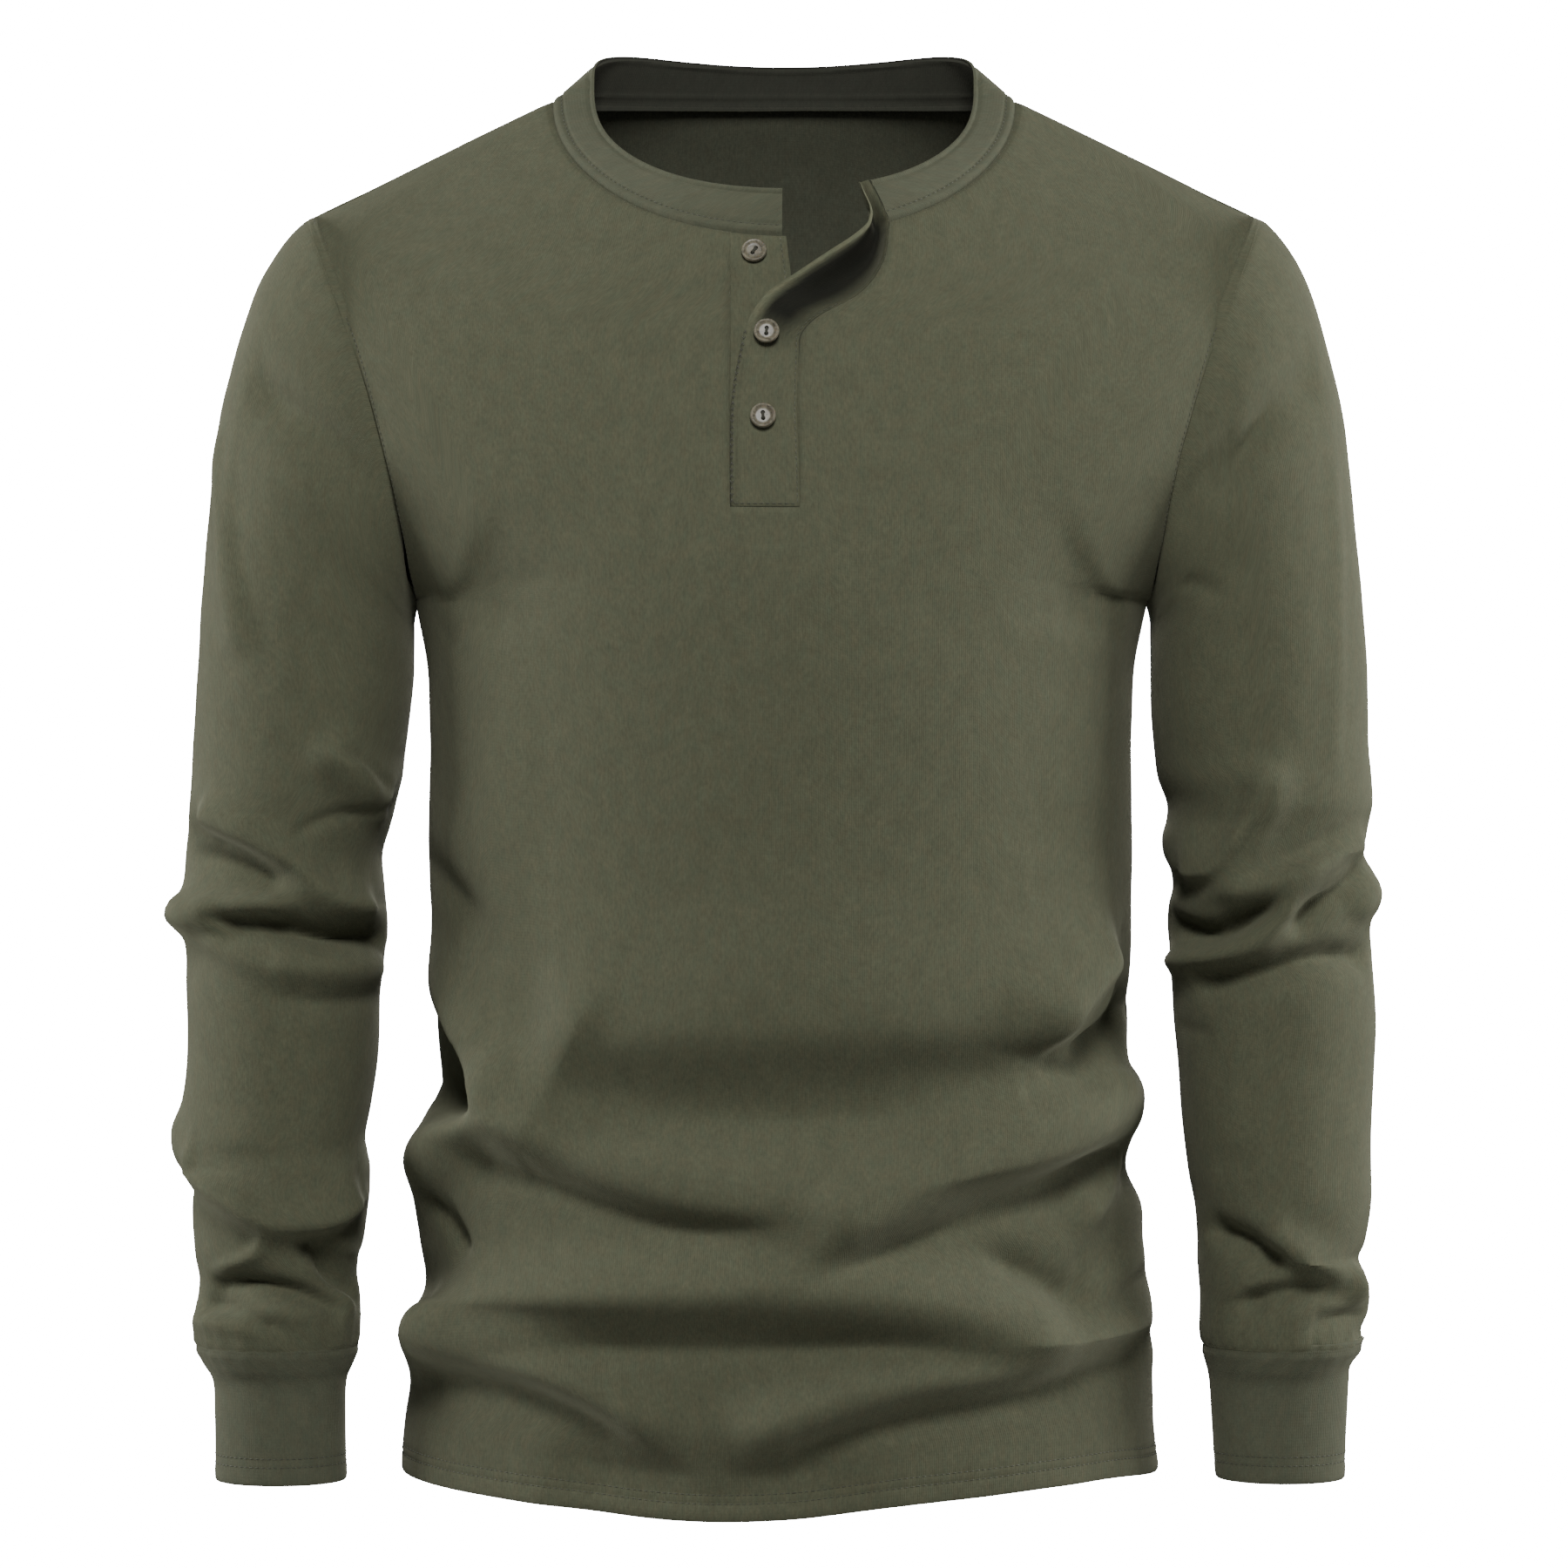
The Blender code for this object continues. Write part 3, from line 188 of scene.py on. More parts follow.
# The body has the same sections as the solid panels, with finer rows.
body = {
    "neckHalfWidth": 120.0, "frontDepth": 85.0, "frontDrop": 79.0, "backDepth": 72.0,
    "backRise": 6.0, "shoulderHalfWidth": 245.5, "shoulderDrop": 61.0,
    "underarmHalfWidth": 189.0, "underarmDrop": 259.0, "armholeHalfDepth": 68.0,
    "bow": {-1: 8.0, 1: 10.0}, "backBow": 5.0,
    "neckShare": 0.56,            # share of a panel's top edge that is neckline
    "girthPerDegree": 2.75, "fadeLength": 38.0,
    "hem": -706.0,
    "frontColumns": (26, 46, 12, 46, 26),   # shoulder, neckline, placket, neckline, shoulder
    "backColumns": (26, 76, 26),
    "topRows": 60,                # from the underarm to the top edge
    "slitRow": 12,                # of those, the row at the foot of the placket
    "slitBottom": -198.6,         # height along the panel there
    "thickness": 1.0,
    "turnedUp": (15.5, 2.1),      # the hem is doubled to this height, and this thick
    "hemStitches": (9.5, 14.0),   # above the edge
    "armholeStitch": 3.2,         # beside the seam
    "seams": (("side", 0, 1.6, -0.9), ("top", 0, 1.6, -0.8)),
    "slitEdge": (("zeta", "x"), (-198.6, 7.7), (-85, 7.7), (-75, 8.5), (-61, 17.2),
                 (-46, 36.8), (-27, 48.5), (0, 53.0)),
    "slitLeft": -26.6,
    "smoothRounds": 70,           # of the chest near the shoulder tips
    "unevenness": 0.32, "hemSwell": 0.28, "pucker": 0.22, "stitchDip": 0.45,
    "hemDrop": (                  # how far the front's hem hangs below the level hem line
        ("x", "drop"),
        (-195, 0), (-150, 3), (-100, 6.5), (-60, 10), (-20, 10.3), (10, 8.5), (55, 3), (90, 0.3),
        (140, -2.8), (175, -2.8), (193, 0),
    ),
    "outline": (
        ("z", "lowX", "highX"),
        (-706, -197.0, 193.0),
        (-677, -195.0, 190.5),
        (-659, -192.5, 190.0),
        (-645, -193.5, 189.5),
        (-632, -192.0, 184.5),
        (-614, -185.5, 186.0),
        (-587, -188.0, 185.0),
        (-569, -190.0, 184.5),
        (-551, -189.5, 176.5),
        (-524, -183.5, 181.0),
        (-497, -180.0, 172.0),
        (-470, -179.0, 178.5),
        (-443, -180.0, 179.0),
        (-398, -183.5, 180.0),
        (-326, -183.0, 179.5),
        (-290, -184.5, 181.5),
        (-259, -190.0, 188.0),
    ),
    "depth": (
        ("z", "front", "back"),
        (-706, 126, 113),
        (-677, 125, 112),
        (-659, 124, 111),
        (-645, 123, 110),
        (-632, 123, 110),
        (-614, 122, 108),
        (-587, 121, 107),
        (-569, 120, 106),
        (-551, 119, 105),
        (-524, 118, 104),
        (-497, 117, 104),
        (-470, 117, 105),
        (-443, 118, 107),
        (-398, 120, 111),
        (-326, 125, 121),
        (-290, 127, 126),
        (-259, 128, 130),
        (-200, 124, 134),
        (-130, 114, 127),
        (-61, 101, 106),
        (-30, 94, 91),
        (0, 85, 72),
    ),
    "frontFolds": (
        ("belly roll", 12, 52, 23, (-128, -480), (-60, -474), (0, -471), (90, -470), (172, -470)),
        ("belly trough", -8, 26, 15, (-120, -520), (0, -518), (90, -514), (160, -504)),
        ("left sash", 17, 26, 18, (-205, -552), (-175, -541), (-157, -530), (-141, -523),
         (-118, -529), (-78, -545), (-39, -556), (16, -568)),
        ("sash start", 6, 14, 15, (-190, -546), (-162, -532), (-136, -525), (-96, -534)),
        ("right sash", 26, 28, 18, (-2, -592), (17, -577), (41, -563), (80, -545), (112, -534),
         (140, -524), (172, -509), (215, -494)),
        ("hip roll", 20, 18, 17, (-186, -634), (-160, -618), (-139, -609), (-80, -605), (0, -603),
         (52, -607), (99, -617), (142, -632)),
        ("low left", 17, 15, 14, (-215, -634), (-179, -635), (-150, -636), (-119, -642),
         (-88, -657), (-65, -673), (-44, -692)),
        ("low right", 18, 16, 14, (-36, -692), (-14, -675), (21, -660), (52, -650), (99, -643),
         (146, -632), (177, -627), (215, -620)),
        ("flank edge", 15, 24, 11, (-190, -440), (-167, -467), (-151, -491), (-138, -512),
         (-128, -528)),
        ("flank hollow", -19, 18, 8, (-215, -498), (-182, -509), (-158, -515), (-140, -519)),
        ("slant crease", 5, 7, 26, (-86, -450), (-101, -480), (-112, -505), (-121, -530)),
        ("side edge", 14, 24, 10, (118, -492), (126, -476), (140, -458), (166, -432)),
        ("side hollow", -18, 14, 12, (130, -488), (152, -482), (176, -469), (205, -458)),
        ("low flank edge", 9, 14, 8, (144, -582), (161, -556), (174, -534)),
        ("low flank dip", -8, 10, 8, (94, -584), (124, -600), (152, -619)),
        ("hip corner", 5, 9, 7, (142, -616), (167, -602), (190, -592)),
        ("left flank dip", -7, 8, 9, (-184, -556), (-170, -574), (-156, -596)),
        ("hem turn", -20, 40, 30, (-130, -714), (-75, -718), (-35, -722), (10, -720), (60, -714)),
        ("right armpit", -6, 30, 30, (-178, -236), (-150, -262), (-142, -290)),
        ("left armpit", -6, 30, 30, (174, -238), (150, -262), (142, -284)),
        ("waist crease", -6, 10, 13, (-190, -386), (-170, -405), (-146, -430)),
        ("flank valley", -6.5, 8, 9, (-169, -537), (-129, -547), (-86, -561), (-51, -571),
         (-17, -572), (9, -567)),
        ("right valley", -7.5, 9, 8, (4, -603), (43, -586), (73, -574), (107, -561), (137, -549),
         (169, -534)),
        ("roll valley", -5, 9, 8, (-160, -638), (-86, -632), (0, -630), (69, -633), (124, -643)),
        ("low left valley", -6, 9, 8, (-186, -650), (-146, -652), (-111, -660), (-80, -676),
         (-56, -692)),
        ("low right valley", -6, 9, 8, (-16, -692), (24, -676), (58, -666), (107, -658),
         (150, -647), (184, -641)),
        ("flank nick", -2.7, 4, 5, (-171, -559), (-165, -576), (-154, -593)),
        ("right nick", -2.5, 4, 4, (159, -550), (153, -561), (150, -567)),
        ("right nick low", -2.5, 4, 4, (150, -584), (147, -601), (146, -614)),
        ("right shine", 2.5, 12, 12, (99, -460), (120, -464), (141, -469)),
        ("left hang", -1.4, 18, 18, (-118, -289), (-120, -353), (-116, -417)),
        ("middle hang", -1, 20, 20, (0, -289), (2, -374)),
        ("right hang", -1.2, 18, 18, (129, -332), (126, -396)),
        ("left armpit drag", -0.8, 6, 6, (-180, -267), (-163, -284), (-152, -306)),
        ("hollow line", -2.5, 5, 5, (167, -447), (159, -473), (139, -492)),
    ),
    "backFolds": (
        ("back sash", 10.5, 14, 26, (-170, -500), (-96, -520), (-10, -548), (70, -552)),
        ("back sash low", 10.5, 24, 14, (168, -560), (90, -578), (8, -590), (-60, -584)),
        ("seat roll", 9, 20, 15, (-160, -628), (-70, -618), (30, -620), (150, -634)),
        ("small of back", -7.5, 26, 26, (-120, -452), (0, -462), (112, -448)),
        ("blade to blade", -4.5, 30, 34, (-95, -175), (0, -190), (98, -172)),
        ("right back armpit", -7.5, 24, 24, (-170, -236), (-146, -262), (-138, -300)),
        ("left back armpit", -7.5, 24, 24, (168, -240), (142, -266), (136, -296)),
        ("sash valley", -3.5, 8, 7, (-165, -514), (-96, -535), (-10, -562), (66, -566)),
        ("low sash valley", -3.5, 7, 8, (165, -574), (90, -592), (8, -604), (-56, -598)),
        ("seat valley", -2.9, 9, 9, (-150, -645), (-60, -634), (40, -637), (146, -652)),
        ("side nick", -2.6, 5, 5, (-172, -468), (-156, -482), (-140, -500)),
        ("side nick right", -2.6, 5, 5, (170, -470), (158, -492), (139, -506)),
        ("waist nick", -2.1, 5, 5, (-168, -398), (-149, -414), (-131, -421)),
        ("left hang", -1.3, 18, 18, (-82, -250), (-88, -330), (-80, -410)),
        ("right hang", -1.3, 18, 18, (94, -262), (88, -346), (95, -418)),
        ("spine", -1.4, 24, 24, (4, -120), (0, -250), (-3, -380)),
        ("right armpit line", -2.4, 5, 6, (-176, -232), (-150, -262), (-132, -292)),
        ("left armpit line", -2.4, 6, 5, (172, -236), (147, -270), (128, -305)),
        ("hem lift", 1.9, 8, 6, (-60, -668), (-20, -676), (24, -690)),
    ),
}


def armholeSeam(side, zeta, face):
    # The seam's x at a height, and how far it stands in front of or behind the side.
    drop, top = body["underarmDrop"], body["shoulderDrop"]
    up = np.clip((zeta + (drop + top) / 2) / ((drop - top) / 2), -1, 1)
    out = np.sqrt(1 - up**2)
    reach = (body["shoulderHalfWidth"] + body["underarmHalfWidth"]) / 2
    lean = (body["shoulderHalfWidth"] - body["underarmHalfWidth"]) / 2
    bow = body["bow"][side] if face == "front" else body["backBow"]
    return side * (reach + lean * up - bow * out**2), body["armholeHalfDepth"] * out


def bodySection(zeta, face):
    low = readColumn(body["outline"], "z", "lowX", zeta)
    high = readColumn(body["outline"], "z", "highX", zeta)
    depth = readColumn(body["depth"], "z", face, zeta)
    lowHole, holeDepth = armholeSeam(-1, zeta, face)
    highHole = armholeSeam(1, zeta, face)[0]
    inArmhole = (zeta > -body["underarmDrop"]) & (zeta < -body["shoulderDrop"])
    onShoulder = zeta >= -body["shoulderDrop"]
    neck, wide = body["neckHalfWidth"], body["shoulderHalfWidth"]
    shoulder = neck + (wide - neck) * -zeta / body["shoulderDrop"]
    low = np.where(inArmhole, lowHole, np.where(onShoulder, -shoulder, low))
    high = np.where(inArmhole, highHole, np.where(onShoulder, shoulder, high))
    turn = np.where(inArmhole, np.arccos(np.clip(holeDepth / depth, 0, 1)), np.pi / 2)
    return (low + high) / 2, (high - low) / 2, depth, turn


def tiltAt(zeta):
    return np.clip(1 + zeta / body["underarmDrop"], 0, 1)


def bodySurface(s, zeta, face):
    # s runs from side to side, -1 to 1, and zeta is the height along the panel. Toward the neck
    # the sections tilt, so that the last one is the neck seam.
    middle, half, depth, turn = bodySection(zeta, face)
    angle = s * turn
    lift = (np.cos(angle) - np.cos(turn)) / (1 - np.cos(turn))
    tilt = tiltAt(zeta)
    tip = -body["frontDrop"] if face == "front" else body["backRise"]
    facing = -1 if face == "front" else 1
    return np.stack([middle * (1 - tilt) + half / np.sin(turn) * np.sin(angle),
                     facing * depth * np.cos(angle), zeta + tip * tilt * lift], axis=-1)


def middleRise(f):
    power = (np.log(1 + body["slitBottom"] / body["underarmDrop"])
             / np.log(body["slitRow"] / body["topRows"]))
    return f**power


def spreadUp(c, f, face):
    # Columns above the underarm fan out to the neckline. The rest of each row runs straight from
    # there to the armhole seam, so that its last columns end along the shoulder seam.
    share, drop = body["neckShare"], body["underarmDrop"]
    inner = np.clip(c, -share, share)
    past = np.clip((np.abs(c) - share) / (1 - share), 0, 1)
    armRise, edge = (1 - np.cos(np.pi * f)) / 2, np.abs(inner)**3
    neckZeta = -drop + drop * ((1 - edge) * middleRise(f) + edge * armRise)
    armZeta = -drop + (drop - body["shoulderDrop"]) * armRise
    neckAngle = inner * (1 + f * (1 / share - 1)) * bodySection(neckZeta, face)[3]
    armAngle = np.sign(c) * bodySection(np.full_like(c, armZeta), face)[3]
    zeta = neckZeta + (armZeta - neckZeta) * past
    s = (neckAngle + (armAngle - neckAngle) * past) / bodySection(zeta, face)[3]
    return np.clip(np.where(past == 1, np.sign(c), s), -1, 1), zeta


def columnAt(x, zeta, f):
    middle, half, depth, turn = bodySection(np.array([float(zeta)]), "front")
    angle = np.arcsin((x - middle * (1 - tiltAt(zeta))) * np.sin(turn) / half)
    return float((angle / turn / (1 + f * (1 / body["neckShare"] - 1)))[0])


def panelRows():
    # Heights up to the underarm, closer at the stitched hem, then shares of the way to the top.
    hem = (0, 0.5, 1.4, 3.2, 6, 8.2, 9.0, 9.5, 10.1, 11.6, 13.2, 14.0, 14.8, 16.4)
    low = np.concatenate([body["hem"] + np.array(hem), np.linspace(-687, -470, 86, endpoint=False),
                          np.linspace(-470, -body["underarmDrop"], 60, endpoint=False)])
    top = np.append(linesBetween(0, 1, body["topRows"], seamAtEnd=True), 1.0)
    return [(z, 0.0) for z in low] + [(None, f) for f in top]


def panelGrid(face):
    share, rows = body["neckShare"], []
    for z, f in panelRows():
        zeta = z if z is not None else -body["underarmDrop"] * (1 - middleRise(f))
        if face == "front":
            slitX = float(readColumn(body["slitEdge"], "zeta", "x", np.array([float(zeta)]))[0])
            stops = (-1, -share, columnAt(body["slitLeft"], zeta, f), columnAt(slitX, zeta, f),
                     share, 1)
            counts = body["frontColumns"]
        else:
            stops, counts = (-1, -share, share, 1), body["backColumns"]
        last = len(counts) - 1
        parts = [linesBetween(a, b, n, seamAtStart=k == 0, seamAtEnd=k == last)
                 for k, (a, b, n) in enumerate(zip(stops, stops[1:], counts))]
        c = np.append(np.concatenate(parts), 1.0)
        rows.append((c, np.full_like(c, zeta)) if z is not None else spreadUp(c, f, face))
    grid = np.array(rows).transpose(0, 2, 1)
    return grid if face == "front" else grid[:, ::-1]


def bodyNormals(s, zeta, face):
    across = bodySurface(s + 0.01, zeta, face) - bodySurface(s - 0.01, zeta, face)
    up = bodySurface(s, zeta + 1, face) - bodySurface(s, zeta - 1, face)
    return unit(np.cross(across, up) if face == "front" else np.cross(up, across))


def bodyFoldPaths():
    # Fold paths with x turned to a distance round the body from the middle of the front.
    paths = []
    for face in ("front", "back"):
        for name, crest, left, right, *path in body[face + "Folds"]:
            x, z = smoothPath(path).T
            middle, half, depth, turn = bodySection(z, face)
            off = x - middle
            q = np.degrees(np.arcsin(np.clip(off / half, -1, 1)))
            q = q + np.sign(off) * np.maximum(np.abs(off) - half, 0) / body["girthPerDegree"]
            if face == "back":
                q = 180 - q
            q = (q - q[0] + 180) % 360 - 180 + q[0]
            paths.append((np.stack([q * body["girthPerDegree"], z], axis=-1), crest, left, right))
    return paths


def relaxed(points, free, rounds):
    # Points drawn toward the middle of their neighbours by a share, while the edges stay. Then
    # the lines close to the side and top edges are set at their shares again.
    for _ in range(rounds):
        middle = (points[2:, 1:-1] + points[:-2, 1:-1] + points[1:-1, 2:] + points[1:-1, :-2]) / 4
        points[1:-1, 1:-1] += (middle - points[1:-1, 1:-1]) * free[1:-1, 1:-1, None]
    upper = free[:, :1, None] + free[:, -1:, None] > 0
    for k, share in enumerate(closeLines, start=1):
        first = points[:, :1] + (points[:, 4:5] - points[:, :1]) * share
        last = points[:, -1:] + (points[:, -5:-4] - points[:, -1:]) * share
        points[:, k:k + 1] = np.where(upper, first, points[:, k:k + 1])
        points[:, -1 - k:-k] = np.where(upper, last, points[:, -1 - k:-k])
        top = points[-1] + (points[-5] - points[-1]) * share
        points[-1 - k] = np.where(free[-1][:, None] > 0, top, points[-1 - k])
    return points


def panelPoints(face):
    grid = panelGrid(face)
    s, zeta = grid[..., 0], grid[..., 1]
    # the chest near the shoulder tips is smoothed, where tilted sections meet the armhole
    free = rise(np.abs(s), 0.32, 0.57) * rise(zeta, -150, -110)
    points = relaxed(bodySurface(s, zeta, face), free, body["smoothRounds"])
    if face == "front":
        drop = readColumn(body["hemDrop"], "x", "drop", points[..., 0])
        points[..., 2] -= drop * rise(zeta, -630, -680)
    normals = unit(bodyNormals(s, zeta, face) * (1 - free[..., None])
                   + gridNormals(points) * free[..., None])
    ways = edgeWays(points)
    low, top = ways["low"], ways["top"]
    q = s * 90 if face == "front" else 180 - s * 90
    relief = roundRelief(q, points[..., 2], bodyFoldPaths(), body["girthPerDegree"],
                         body["fadeLength"])
    # folds are quieter toward the neck, the hem's edge, the side seams and the armholes
    relief *= rise(zeta, -20, -110) * np.maximum(rise(zeta, -712, -682), 0.35)
    relief *= 1 - 0.75 * np.abs(np.sin(np.radians(q)))**14
    relief *= np.clip(rise(zeta, -262, -297) + rise(np.abs(s), 1, 0.85), 0, 1)
    relief += unevenness(points, body["unevenness"]) * np.maximum(rise(top, 0, 40), 0.2)
    relief += pressedLines(ways, body["seams"])
    onArmhole = zeta > -body["underarmDrop"] + 2
    relief -= 0.22 * dent(ways["side"], body["armholeStitch"], 0.9) * onArmhole
    # the hem's two rows of stitches pull it in, and it puckers a little between them
    pucker = np.sin(q * 1.9 + 2.2 * np.sin(q * 0.23)) * rise(np.abs(low - 11), 14, 0)
    relief += body["hemSwell"] * rise(low, 0, 2) * rise(low, 17, 14) + body["pucker"] * pucker
    relief -= 0.7 * rise(low, 0.9, 0)
    for place in body["hemStitches"]:
        relief -= body["stitchDip"] * dent(low, place, 0.9)
    return points + normals * relief[..., None]


def addPiece(name, bm, material, nodes=()):
    mesh = bpy.data.meshes.new(name)
    bm.to_mesh(mesh)
    bm.free()
    mesh.shade_smooth()
    piece = bpy.data.objects.new(name, mesh)
    bpy.context.scene.collection.objects.link(piece)
    mesh.materials.append(material)
    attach(piece, "root")
    if nodes:
        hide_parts(*nodes)
    return piece


allowanceSteps = ((0.8, 0.5), (2.2, 1.1), (4.0, 1.5))   # mm past the sewn edge and mm inward


def withAllowance(points, edges, tube=False):
    # Seam allowances past sewn edges, which lie inside the pieces that are sewn on there.
    for edge in edges:
        normals = gridNormals(points, tube)
        if edge in ("start", "end"):
            points, normals = points.transpose(1, 0, 2), normals.transpose(1, 0, 2)
        if edge in ("low", "start"):
            points, normals = points[::-1], normals[::-1]
        way = unit(points[-5] - points[-7])
        past = [points[-1] + way * far - normals[-5] * inward for far, inward in allowanceSteps]
        points = np.concatenate([points, past])
        if edge in ("low", "start"):
            points = points[::-1]
        if edge in ("start", "end"):
            points = points.transpose(1, 0, 2)
    return points


def clothPiece(name, points, material, node, thickness, tube=False, cut=None,
               turnedUp=None, roundEdge=0.0, sewn=(), inside=None, shade=None, feather=0.0):
    # A grid bent to the points, with real-size UVs, and given its thickness inward.
    points = withAllowance(points, sewn, tube)
    rows, columns = points.shape[:2]
    ways = edgeWays(points)
    across = ways["start"] - ways["start"][:, columns // 2, None]
    u, v = across.ravel() * mm, ways["low"].ravel() * mm
    bm = bmesh.new()
    bmesh.ops.create_grid(bm, x_segments=columns - 1, y_segments=rows - 1, size=1)
    uvLayer = bm.loops.layers.uv.new("cloth")
    bm.verts.ensure_lookup_table()
    for vert, place in zip(bm.verts, points.reshape(-1, 3) * mm):
        vert.co = place
    for face in bm.faces:
        for loop in face.loops:
            loop[uvLayer].uv = (u[loop.vert.index], v[loop.vert.index])
    if cut:
        gone = [f for k, f in enumerate(bm.faces) if cut(k // (columns - 1), k % (columns - 1))]
        bmesh.ops.delete(bm, geom=gone, context="FACES")
    if tube:
        bmesh.ops.remove_doubles(bm, verts=bm.verts, dist=1e-6)
    piece = addPiece(name, bm, material, (node,))
    if shade is not None:
        painted = piece.data.attributes.new("shade", "FLOAT", "POINT")
        painted.data.foreach_set("value", shade.ravel())
    wall = piece.modifiers.new("thickness", "SOLIDIFY")
    wall.thickness, wall.offset, wall.use_even_offset = thickness * mm, -1, True
    wall.thickness_clamp = 1.0
    if inside:
        piece.data.materials.append(inside)
        wall.material_offset = 1
    shares = None
    if turnedUp:
        # turned-up cloth is doubled, so the wall is thicker up to a height above the edge
        height, thick = turnedUp
        low = np.array([vert.co.z for vert in piece.data.vertices]) / mm
        shares = np.where(low - low.min() < height, 1.0, thickness / thick)
        wall.thickness = thick * mm
    if feather:
        # pressed thin along the low edge, where it is sewn in
        shares = np.clip(ways["low"].ravel() / feather, 0.2, 1)
    if shares is not None:
        group = piece.vertex_groups.new(name="wall")
        for k, share in enumerate(shares):
            group.add([k], float(share), "REPLACE")
        wall.vertex_group = "wall"
    if roundEdge:
        rim = piece.modifiers.new("rounded edge", "BEVEL")
        rim.width, rim.segments, rim.limit_method, rim.angle_limit = roundEdge * mm, 2, "ANGLE", 1.0


stitching = {"length": 2.5, "pitch": 3.1, "radius": 0.27, "rise": 0.1}
seamStitches, roughStitches = [], []   # a place, a direction and the way out for each stitch


def seamLine(points, normals, edge, distance):
    # The line on a grid of points that runs at a distance from one of its edges.
    way = edgeWays(points)[edge]
    if edge in ("low", "top"):
        way, points, normals = way.T, points.transpose(1, 0, 2), normals.transpose(1, 0, 2)
    line = []
    for w, p, n in zip(way, points, normals):
        order = np.argsort(w)
        line.append([np.interp(distance, w[order], both[order, k])
                     for both in (p, n) for k in range(3)])
    return np.array(line)


def stitchAlong(line, stitches=seamStitches, skew=0.0):
    # Keep a place and a direction for every stitch along a line of points with normals.
    way = np.concatenate([[0], np.cumsum(np.linalg.norm(np.diff(line[:, :3], axis=0), axis=1))])
    count = int(way[-1] // stitching["pitch"])
    start = (way[-1] - count * stitching["pitch"]) / 2
    for k in range(count):
        a = start + k * stitching["pitch"]
        ends = [np.array([np.interp(x, way, line[:, j]) for j in range(6)])
                for x in (a, a + stitching["length"])]
        middle = (ends[0] + ends[1]) / 2
        out = Vector(middle[3:]).normalized()
        run = Vector(ends[1][:3]) - Vector(ends[0][:3])
        if 0.5 <= run.length <= 2 * stitching["length"]:
            run = (Matrix.Rotation(skew * (1 if k % 2 else -1), 3, out) @ run).normalized()
            stitches.append((Vector(middle[:3]) + out * stitching["rise"], run, out))


def makeStitches(name, stitches, material):
    # One small spindle for every stitch.
    bm = bmesh.new()
    radius = stitching["radius"] * mm
    spindle = Matrix.Diagonal((stitching["length"] / 2 * mm, radius, radius, 1))
    for middle, run, out in stitches:
        side = out.cross(run).normalized()
        turn = Matrix((run, side, run.cross(side))).transposed().to_4x4()
        bmesh.ops.create_icosphere(bm, subdivisions=1, radius=1,
                                   matrix=Matrix.Translation(middle * mm) @ turn @ spindle)
    addPiece(name, bm, material)
    print(f"{name}: {len(stitches)} stitches")


